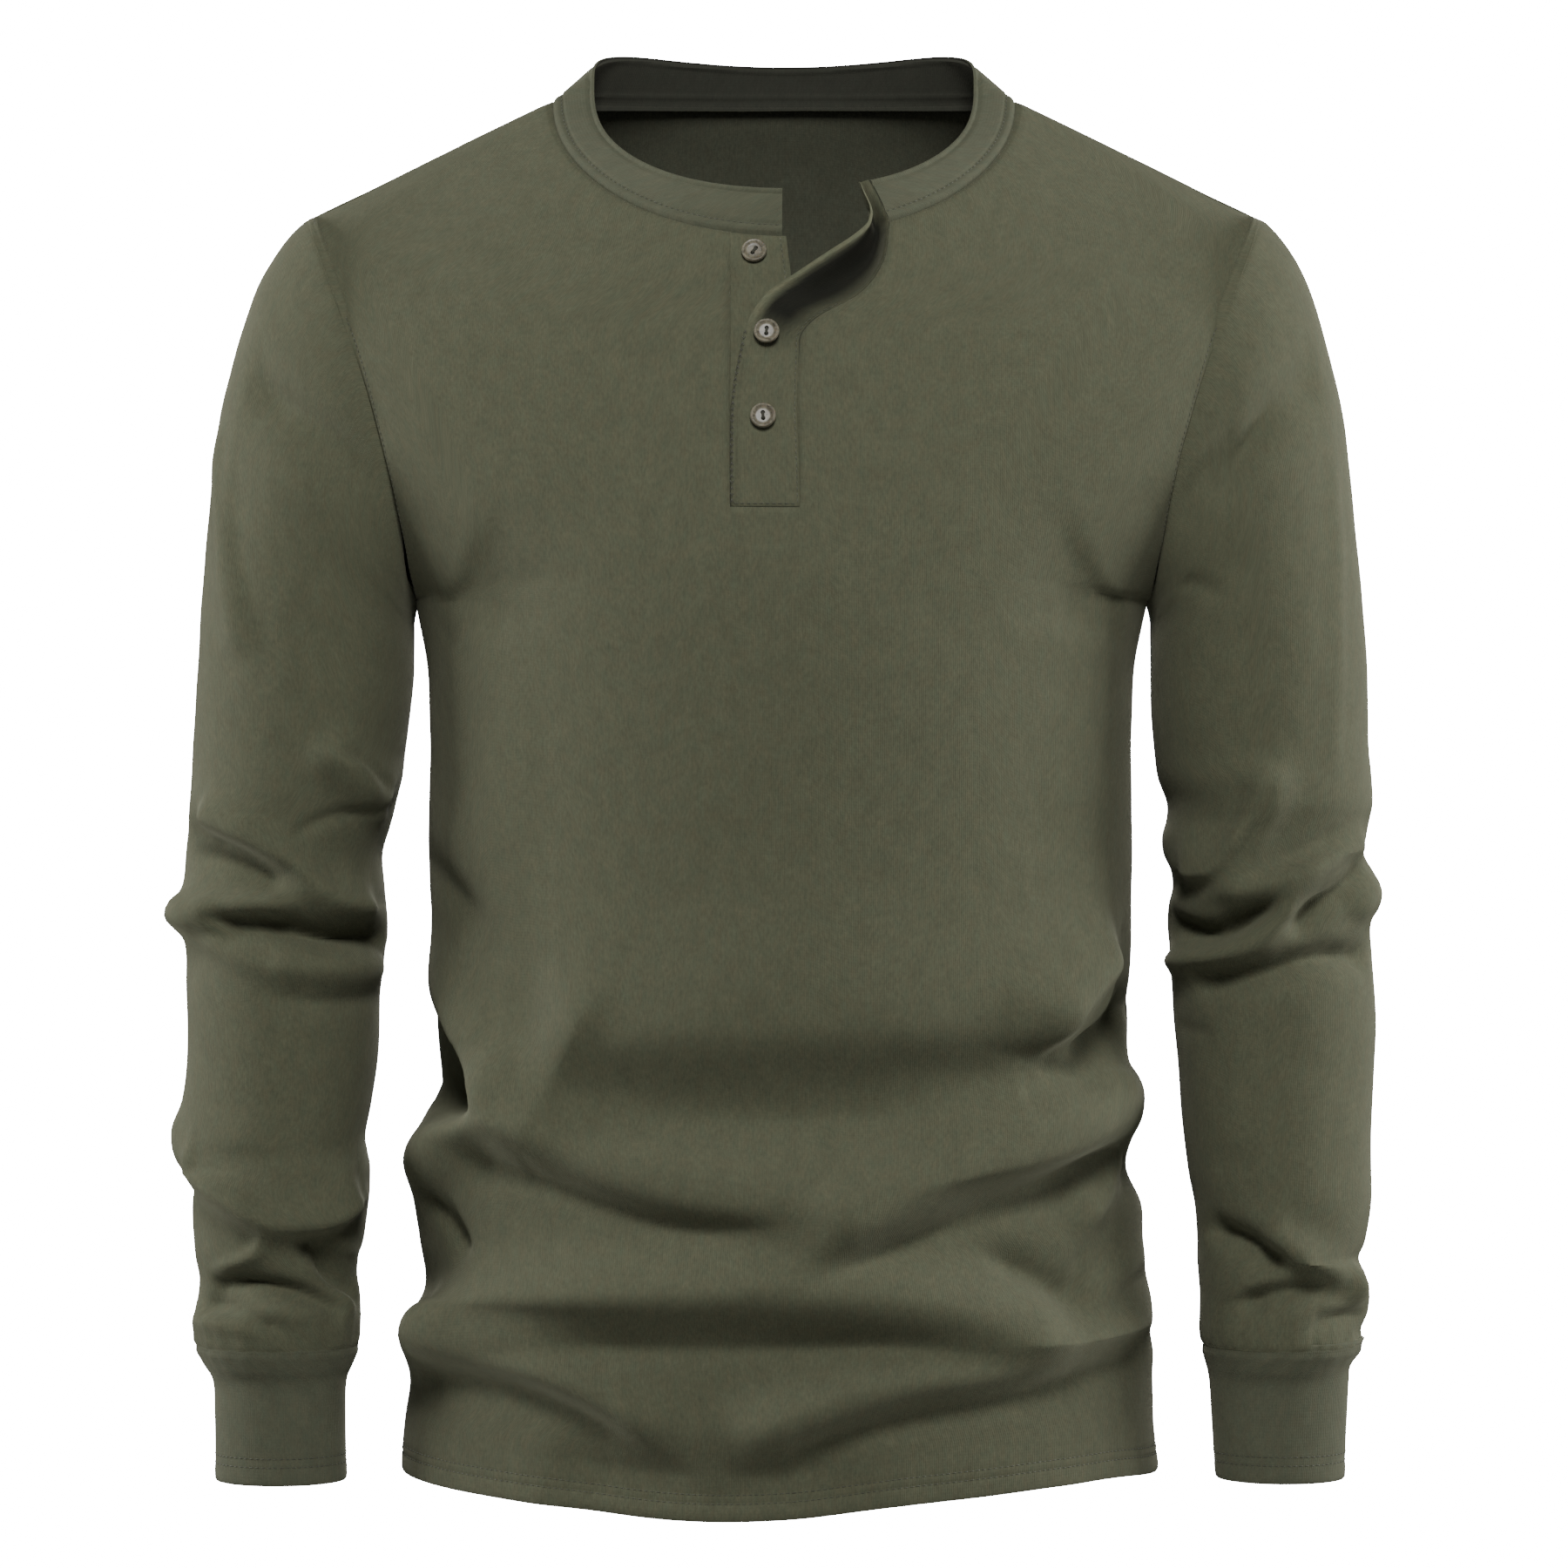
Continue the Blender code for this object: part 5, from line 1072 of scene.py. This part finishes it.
def underPlacketPoints():
    foot, drop, left = placket["underFoot"], body["frontDrop"], body["slitLeft"]
    share = np.linspace(0, 1, placket["underRows"] + 1)[:, None]
    across = np.append(linesBetween(0, 1, placket["underColumns"], True, True), 1.0)[None, :]
    free = readColumn(placket["underEdge"], "z", "x", foot * (1 - share) - drop * share)
    x = left + (free - left) * across
    z = foot + (-drop * np.sqrt(1 - (x / body["neckHalfWidth"])**2) - foot) * share
    hidden = placket["hiddenDepth"] * rise(z, placket["underDives"], placket["underDives"] - 10)
    points = frontAt(x, z) - outOfFront(x, z) * hidden[..., None]
    relief = pressedLines(edgeWays(points), placket["underSeams"])
    relief += unevenness(points, placket["unevenness"]["under"])
    return points + gridNormals(points) * relief[..., None]


buttons = {
    "places": (("x", "z", "stand", "tilt"),
               (-14.8, -88.0, 0.45, 0.55), (-8.6, -130.0, 2.7, 0.05), (-10.3, -172.0, 1.3, -0.08)),
    "holeRadius": 1.1, "holeSpread": 3.0, "steps": 46,
    "threadRadius": 0.42, "strandAside": 0.3, "threadSinks": 0.7,   # into the cloth
    "profile": ((0.0, 1.55), (3.3, 1.5), (4.1, 1.62), (4.7, 2.15), (5.15, 2.52), (5.6, 2.6),
                (6.0, 2.42), (6.28, 1.9), (6.35, 1.3), (6.2, 0.6), (5.7, 0.15), (5.0, 0.0),
                (0.0, 0.0)),
}


def drillHoles(piece):
    drill = bpy.data.meshes.new("drill")
    radius, half = buttons["holeRadius"] * mm, buttons["holeSpread"] / 2 * mm
    bm = bmesh.new()
    for y in (-half, half):
        bmesh.ops.create_cone(bm, cap_ends=True, segments=20, radius1=radius, radius2=radius,
                              depth=10 * mm, matrix=Matrix.Translation((0, y, 0)))
    bm.to_mesh(drill)
    bm.free()
    cutter = bpy.data.objects.new("drill", drill)
    bpy.context.scene.collection.objects.link(cutter)
    cut = piece.modifiers.new("thread holes", "BOOLEAN")
    cut.operation, cut.solver, cut.object = "DIFFERENCE", "EXACT", cutter
    bpy.context.view_layer.update()
    drilled = piece.evaluated_get(bpy.context.evaluated_depsgraph_get())
    mesh = bpy.data.meshes.new_from_object(drilled)
    piece.modifiers.clear()
    piece.data = mesh
    bpy.data.objects.remove(cutter, do_unlink=True)


def makeButton(k, place, resin):
    bm = bmesh.new()
    verts = [bm.verts.new((r * mm, 0, h * mm)) for r, h in buttons["profile"]]
    edges = [bm.edges.new(pair) for pair in zip(verts, verts[1:])]
    bmesh.ops.spin(bm, geom=verts + edges, cent=(0, 0, 0), axis=(0, 0, 1), angle=2 * np.pi,
                   steps=buttons["steps"], use_merge=True)
    bmesh.ops.remove_doubles(bm, verts=bm.verts, dist=1e-5)
    bmesh.ops.recalc_face_normals(bm, faces=bm.faces)
    piece = addPiece(f"button{k}Resin", bm, resin, (f"button_{k}",))
    drillHoles(piece)
    piece.data.transform(place)
    piece.data.shade_smooth()
    piece.data.set_sharp_from_angle(angle=0.6)


def sewOn(k, place, stand, thread):
    # Two strands out of the cloth, through the holes and over the bridge between them.
    hole, below = buttons["holeSpread"] / 2, -stand - buttons["threadSinks"]
    half = ((hole - 0.3, below), (hole + 0.2, 1.0), (hole, 1.55), (hole - 0.4, 1.95))
    path = half + ((0.0, 2.05),) + tuple((-y, h) for y, h in half[::-1])
    bm = bmesh.new()
    for aside in (-buttons["strandAside"], buttons["strandAside"]):
        rings = []
        for j, (y, h) in enumerate(path):
            before, after = path[max(j - 1, 0)], path[min(j + 1, len(path) - 1)]
            way = Vector((0, after[0] - before[0], after[1] - before[1])).normalized()
            at = Matrix.Translation(Vector((aside, y, h)) * mm)
            facing = way.to_track_quat("Z", "X").to_matrix().to_4x4()
            known = len(bm.edges)
            bmesh.ops.create_circle(bm, cap_ends=False, segments=8,
                                    radius=buttons["threadRadius"] * mm, matrix=at @ facing)
            rings.append(list(bm.edges)[known:])
        for one, two in zip(rings, rings[1:]):
            bmesh.ops.bridge_loops(bm, edges=one + two)
    bmesh.ops.holes_fill(bm, edges=[e for e in bm.edges if e.is_boundary], sides=0)
    bmesh.ops.recalc_face_normals(bm, faces=bm.faces)
    bmesh.ops.transform(bm, verts=bm.verts, matrix=place)
    addPiece(f"button{k}Thread", bm, thread)


def linear(code):
    # An sRGB hex colour as linear light.
    parts = [int(code[k:k + 2], 16) / 255 for k in (1, 3, 5)]
    return tuple(c / 12.92 if c <= 0.04045 else ((c + 0.055) / 1.055)**2.4 for c in parts) + (1.0,)


def addNode(tree, kind, settings=None, links=None):
    node = tree.nodes.new(kind)
    for key, value in (settings or {}).items():
        if isinstance(key, int) or key in node.inputs:
            node.inputs[key].default_value = value
        else:
            setattr(node, key, value)
    for key, source in (links or {}).items():
        tree.links.new(source, node.inputs[key])
    return node


def newMaterial(name, settings):
    material = bpy.data.materials.new(name)
    material.use_nodes = True
    tree = material.node_tree
    shader = tree.nodes["Principled BSDF"]
    for key, value in settings.items():
        shader.inputs[key].default_value = value
    return material, tree, shader


knit = {
    "patterns": (                 # mm across and up
        ("fleck", 1.3, 3.4, 3),   # flecks of yarn, real ones 0.5 mm wide, drawn to show
        ("blotch", 9.0, 15.0, 2),   # slow shade changes in the dye
        ("warm", 4.2, 9.0, 2),
        ("nap", 0.8, 1.4, 4),
    ),
    "wale": 1.1, "course": 1.5,   # a little wider apart than the real ones so that they show
    "bumpHeight": 0.4,
}


def cottonCloth(name, look):
    # Fine interlock jersey, combed cotton, reactive dyed: matte with a short soft nap, faintly
    # flecked because the yarn takes the dye unevenly, with wales that run up the cloth.
    material, tree, shader = newMaterial(name, {
        "Roughness": look["roughness"], "Specular IOR Level": 0.25, "IOR": 1.5,
        "Sheen Weight": look["sheen"], "Sheen Roughness": 0.45,
        "Sheen Tint": linear(look["sheenTint"])})
    way = addNode(tree, "ShaderNodeTexCoord").outputs["UV"]
    pattern = {}
    for key, across, up, detail in knit["patterns"]:
        scaled = addNode(tree, "ShaderNodeMapping",
                         {"Scale": (1 / (across * mm), 1 / (up * mm), 1)}, {"Vector": way})
        spots = addNode(tree, "ShaderNodeTexNoise",
                        {"Scale": 1.0, "Detail": detail, "Roughness": 0.6},
                        {"Vector": scaled.outputs["Vector"]})
        pattern[key] = spots.outputs["Fac"]
    base = addNode(tree, "ShaderNodeMix", {"data_type": "RGBA", 6: linear(look["green"]),
                                           7: linear(look["brown"])}, {0: pattern["warm"]})
    ramp = addNode(tree, "ShaderNodeValToRGB", None, {"Fac": pattern["fleck"]})
    stops = ((0.25, look["fleckDark"]), (0.75, look["fleckLight"]))
    for stop, (place, grey) in zip(ramp.color_ramp.elements, stops):
        stop.position, stop.color = place, (grey, grey, grey, 1)
    flecked = addNode(tree, "ShaderNodeMix",
                      {"data_type": "RGBA", "blend_type": "MULTIPLY", 0: 1.0},
                      {6: base.outputs[2], 7: ramp.outputs["Color"]})
    soft = addNode(tree, "ShaderNodeMapRange", {"From Min": 0.3, "From Max": 0.7, "To Min": 0.93,
                                                "To Max": 1.06}, {"Value": pattern["blotch"]})
    shaded = addNode(tree, "ShaderNodeVectorMath", {"operation": "SCALE"},
                     {0: flecked.outputs[2], "Scale": soft.outputs["Result"]})
    if look.get("hollow"):
        # the strip turns back over a hollow, where the photo shows hardly any light
        # painted shade: the colour is scaled down by the shade attribute, and up into a painted
        # highlight where it is below 0
        depth = addNode(tree, "ShaderNodeAttribute", {"attribute_name": "shade"}).outputs["Fac"]
        left = addNode(tree, "ShaderNodeMath",
                       {"operation": "MULTIPLY_ADD", 1: -look["hollow"], 2: 1.0}, {0: depth})
        shaded = addNode(tree, "ShaderNodeVectorMath", {"operation": "SCALE"},
                         {0: shaded.outputs["Vector"], "Scale": left.outputs[0]})
    tree.links.new(shaded.outputs["Vector"], shader.inputs["Base Color"])
    # the knit's relief: wales across, weaker courses up, and the nap over both
    perLoop = (1 / (knit["wale"] * mm), 1 / (knit["course"] * mm), 1)
    scaled = addNode(tree, "ShaderNodeMapping", {"Scale": perLoop}, {"Vector": way})
    split = addNode(tree, "ShaderNodeSeparateXYZ", None, {"Vector": scaled.outputs["Vector"]})
    height = pattern["nap"]
    for axis, share in (("X", 1.0), ("Y", 0.4)):
        turn = addNode(tree, "ShaderNodeMath", {"operation": "MULTIPLY", 1: 2 * np.pi},
                       {0: split.outputs[axis]})
        wave = addNode(tree, "ShaderNodeMath", {"operation": "SINE"}, {0: turn.outputs[0]})
        height = addNode(tree, "ShaderNodeMath",
                         {"operation": "MULTIPLY_ADD", 1: look["loops"] * share},
                         {0: wave.outputs[0], 2: height}).outputs[0]
    bump = addNode(tree, "ShaderNodeBump",
                   {"Strength": look["bump"], "Distance": knit["bumpHeight"] * mm},
                   {"Height": height})
    tree.links.new(bump.outputs["Normal"], shader.inputs["Normal"])
    return material


def sewingThread(name, code):
    # Spun polyester thread, dyed to match: two plies that catch a little light.
    material, tree, shader = newMaterial(name, {"Roughness": 0.7, "Specular IOR Level": 0.35,
                                                "Sheen Weight": 0.2})
    way = addNode(tree, "ShaderNodeTexCoord").outputs["Object"]
    ply = addNode(tree, "ShaderNodeTexNoise", {"Scale": 1800.0, "Detail": 2.0}, {"Vector": way})
    colour = addNode(tree, "ShaderNodeMix", {"data_type": "RGBA", 6: linear(code),
                                             7: tuple(c * 1.5 for c in linear(code)[:3]) + (1.0,)},
                     {0: ply.outputs["Fac"]})
    tree.links.new(colour.outputs[2], shader.inputs["Base Color"])
    return material


def hornResin(name):
    # Cast polyester resin, turned and tumbled: satin, with pale and darker horn-like clouds.
    material, tree, shader = newMaterial(name, {
        "Roughness": 0.42, "IOR": 1.52, "Subsurface Weight": 0.08, "Subsurface Scale": 0.001})
    way = addNode(tree, "ShaderNodeTexCoord").outputs["Object"]
    cloud = addNode(tree, "ShaderNodeTexNoise", {"Scale": 420.0, "Detail": 4.0, "Distortion": 1.2},
                    {"Vector": way})
    colour = addNode(tree, "ShaderNodeValToRGB", None, {"Fac": cloud.outputs["Fac"]})
    stops = colour.color_ramp.elements
    stops[0].position, stops[0].color = 0.32, linear("#4A463A")
    stops[1].position, stops[1].color = 0.66, linear("#787260")
    tree.links.new(colour.outputs["Color"], shader.inputs["Base Color"])
    grain = addNode(tree, "ShaderNodeBump", {"Strength": 0.12, "Distance": 0.0002},
                    {"Height": cloud.outputs["Fac"]})
    tree.links.new(grain.outputs["Normal"], shader.inputs["Normal"])
    return material


jerseyLook = {"green": "#4C5342", "brown": "#565340", "sheenTint": "#C9C8B0", "sheen": 0.22,
              "roughness": 0.92, "fleckDark": 0.82, "fleckLight": 1.16, "loops": 0.25, "bump": 0.35}
bandLook = dict(jerseyLook, green="#4B5243", brown="#555342", fleckDark=0.88, fleckLight=1.1)
jersey = cottonCloth("cottonInterlockJersey", jerseyLook)
bandCloth = cottonCloth("cottonInterlockBand", bandLook)
# the wrong side of the cloth, which the photo shows deep in shade within the neck
# the wrong side is a little darker of its own; both inside colours are also darkened as painted
# shade for the shade within the neck, the neckband's inside much more
insideLook = dict(jerseyLook, green="#474C3F", brown="#4B4A3C")
bandInsidePaintedShadeLook = dict(bandLook, green="#2B2E26", brown="#2F2E27")
insideCloth = cottonCloth("cottonInterlockInside", insideLook)
bandInsidePaintedShade = cottonCloth("cottonInterlockBandInsidePaintedShade", bandInsidePaintedShadeLook)
# the placket's cloth, with painted shade and a painted highlight from its shade attribute
placketPaintedShadeCloth = cottonCloth("cottonInterlockPlacketPaintedShade", dict(jerseyLook, hollow=0.9, sheen=0.12))
thread = sewingThread("spunPolyesterThread", "#3C3E31")
darkThread = sewingThread("spunPolyesterThreadDark", "#2E2E24")
resin = hornResin("castHornResin")
print("materials made")

front, back = panelPoints("front"), panelPoints("back")
lastRow, lastColumn = back.shape[0] - 1, back.shape[1] - 1
armRow = lastRow - len(linesBetween(0, 1, body["topRows"], seamAtEnd=True))


def slitCut(row, col):
    # The front is open under the placket.
    first = sum(body["frontColumns"][:2]) + len(closeLines)
    return row >= armRow + body["slitRow"] and first <= col < first + body["frontColumns"][2]


def allowanceCut(row, col):
    # The back's allowances are kept at the side and shoulder seams only.
    extra = len(allowanceSteps)
    side = col < extra or col >= lastColumn + extra
    neckStart = extra + body["backColumns"][0] + len(closeLines)
    onNeck = neckStart <= col < neckStart + body["backColumns"][1]
    return side and row >= armRow or row >= lastRow and (side or onNeck)


clothPiece("frontCloth", front, jersey, "front_panel", body["thickness"],
           turnedUp=body["turnedUp"], inside=insideCloth,
           cut=slitCut)
clothPiece("backCloth", back, jersey, "back_panel", body["thickness"],
           turnedUp=body["turnedUp"], inside=insideCloth,
           cut=allowanceCut, sewn=("start", "end", "top"))
onSeam = [k for k, (z, f) in enumerate(panelRows()) if z is None and 0.02 < f < 0.985]
for points in (front, back):
    normals = gridNormals(points)
    for place in body["hemStitches"]:
        stitchAlong(seamLine(points, normals, "low", place))
    for edge in ("start", "end"):
        stitchAlong(seamLine(points[onSeam], normals[onSeam], edge, body["armholeStitch"]))
print("body made")

for part, hand in ((sleeveRight, "Right"), (sleeveLeft, "Left")):
    clothPiece(part["name"], sleevePoints(part), jersey, part["node"],
               sleeve["thickness"], tube=True, sewn=("top",),
               inside=insideCloth)
    points = cuffPoints(cuff[hand.lower()], part["side"])
    clothPiece(f"cuff{hand}Cloth", points, bandCloth, "cuff_" + hand.lower(),
               cuff["thickness"], tube=True, sewn=("top",), inside=insideCloth)
    for place in cuff["stitches"]:
        stitchAlong(seamLine(points, gridNormals(points, tube=True), "low", place))
print("sleeves and cuffs made")

neck = bandPoints()
clothPiece("neckbandCloth", neck, bandCloth, "neckband", band["thickness"],
           roundEdge=band["roundEdge"], sewn=("low",),
           inside=bandInsidePaintedShade, feather=band["feather"])
upper, hollowShade = upperPlacketPoints()
clothPiece("placketUpperCloth", upper, placketPaintedShadeCloth, "placket_upper",
           placket["thickness"], roundEdge=placket["roundEdge"],
           shade=hollowShade)
under = underPlacketPoints()
clothPiece("placketUnderCloth", under, jersey, "placket_under",
           placket["thickness"], roundEdge=placket["roundEdge"],
           sewn=("start",))
for points, share, edge, place in (
        (neck, 1, "low", band["stitchAbove"]), (upper, 1, "low", placket["footStitch"]),
        (upper, placket["sewnShare"], "end", placket["seamStitch"]),
        (under, 1, "end", placket["edgeStrip"] - 0.9)):
    span = slice(0, None if share == 1 else int(placket["rows"] * share))
    stitchAlong(seamLine(points[span], gridNormals(points)[span], edge, place))
# the upper placket's free edge is roughly sewn in two uneven rows
span = slice(0, int(placket["rows"] * placket["roughShare"]))
for place, skew in placket["roughStitches"]:
    line = seamLine(upper[span], gridNormals(upper)[span], "start", place)
    stitchAlong(line, roughStitches, skew)
print("neckband and placket made")

for k, (x, z, stand, tilt) in enumerate(buttons["places"][1:], start=1):
    out = Vector(outOfFront(x, z))
    up = Matrix.Rotation(-tilt, 3, out) @ (Vector((0, 0, 1)) - out * out.z).normalized()
    turn = Matrix((up.cross(out), up, out)).transposed().to_4x4()
    place = Matrix.Translation((Vector(frontAt(x, z)) + out * stand) * mm) @ turn
    makeButton(k, place, resin)
    sewOn(k, place, stand, darkThread)
makeStitches("stitching", seamStitches, thread)
makeStitches("placketStitching", roughStitches, darkThread)
print("buttons and stitches made")

# A camera straight in front, soft lights and a plain floor far below.
studio = {"distance": 2.5, "height": -0.353, "viewWidth": 0.81, "floor": -1.7, "floorSize": 3.4,
          "sensor": 36, "backdrop": "#FEFEFE", "floorPaint": "#D2D2CE",
          "ambient": 0.06, "backdropGlow": 24.0,   # what lights the shirt, and what the camera sees
          "lights": (("name", "place", "aim", "size", "watts"),
                     ("overhead", (0.12, -2.06, 1.14), (0, 0, -0.3), 0.75, 59),
                     ("frontFill", (-0.3, -2.9, 0.1), (0, 0, -0.35), 1.6, 4),
                     ("sideLeft", (-2.0, 0.1, 0.0), (0, 0, -0.35), 0.7, 36),
                     ("sideRight", (2.0, 0.1, 0.0), (0, 0, -0.35), 0.7, 38),
                     ("backFill", (0.4, 2.6, 0.3), (0, 0, -0.35), 1.6, 26))}


def aimed(thing, place, aim):
    thing.location = place
    thing.rotation_euler = (Vector(aim) - Vector(place)).to_track_quat("-Z", "Y").to_euler()
    bpy.context.scene.collection.objects.link(thing)


camera = bpy.data.objects.new("camera", bpy.data.cameras.new("camera"))
camera.data.sensor_width = studio["sensor"]
camera.data.lens = studio["sensor"] * studio["distance"] / studio["viewWidth"]
aimed(camera, (0, -studio["distance"], studio["height"]), (0, 0, studio["height"]))
bpy.context.scene.camera = camera

for name, place, aim, size, watts in studio["lights"][1:]:
    lamp = bpy.data.lights.new(name, "AREA")
    lamp.shape, lamp.size, lamp.energy = "SQUARE", size, watts
    aimed(bpy.data.objects.new(name, lamp), place, aim)

world = bpy.data.worlds.new("studioAir")
bpy.context.scene.world = world
world.use_nodes = True
tree = world.node_tree
backdrop = tree.nodes["Background"]
backdrop.inputs["Color"].default_value = linear(studio["backdrop"])
backdrop.inputs["Strength"].default_value = studio["backdropGlow"]
dim = addNode(tree, "ShaderNodeBackground", {"Color": linear(studio["backdrop"]),
                                             "Strength": studio["ambient"]})
seen = addNode(tree, "ShaderNodeLightPath").outputs["Is Camera Ray"]
both = addNode(tree, "ShaderNodeMixShader", None,
               {0: seen, 1: dim.outputs[0], 2: backdrop.outputs[0]})
tree.links.new(both.outputs[0], tree.nodes["World Output"].inputs["Surface"])

bm = bmesh.new()
bmesh.ops.create_grid(bm, x_segments=1, y_segments=1, size=studio["floorSize"] / 2)
bmesh.ops.translate(bm, verts=bm.verts, vec=(0, 0, studio["floor"]))
floorMesh = bpy.data.meshes.new("floor")
bm.to_mesh(floorMesh)
bm.free()
floor = bpy.data.objects.new("floor", floorMesh)
bpy.context.scene.collection.objects.link(floor)
floorPaint = newMaterial("matteFloorPaint", {"Roughness": 0.9,
                                             "Base Color": linear(studio["floorPaint"])})[0]
floorMesh.materials.append(floorPaint)
print("studio made")
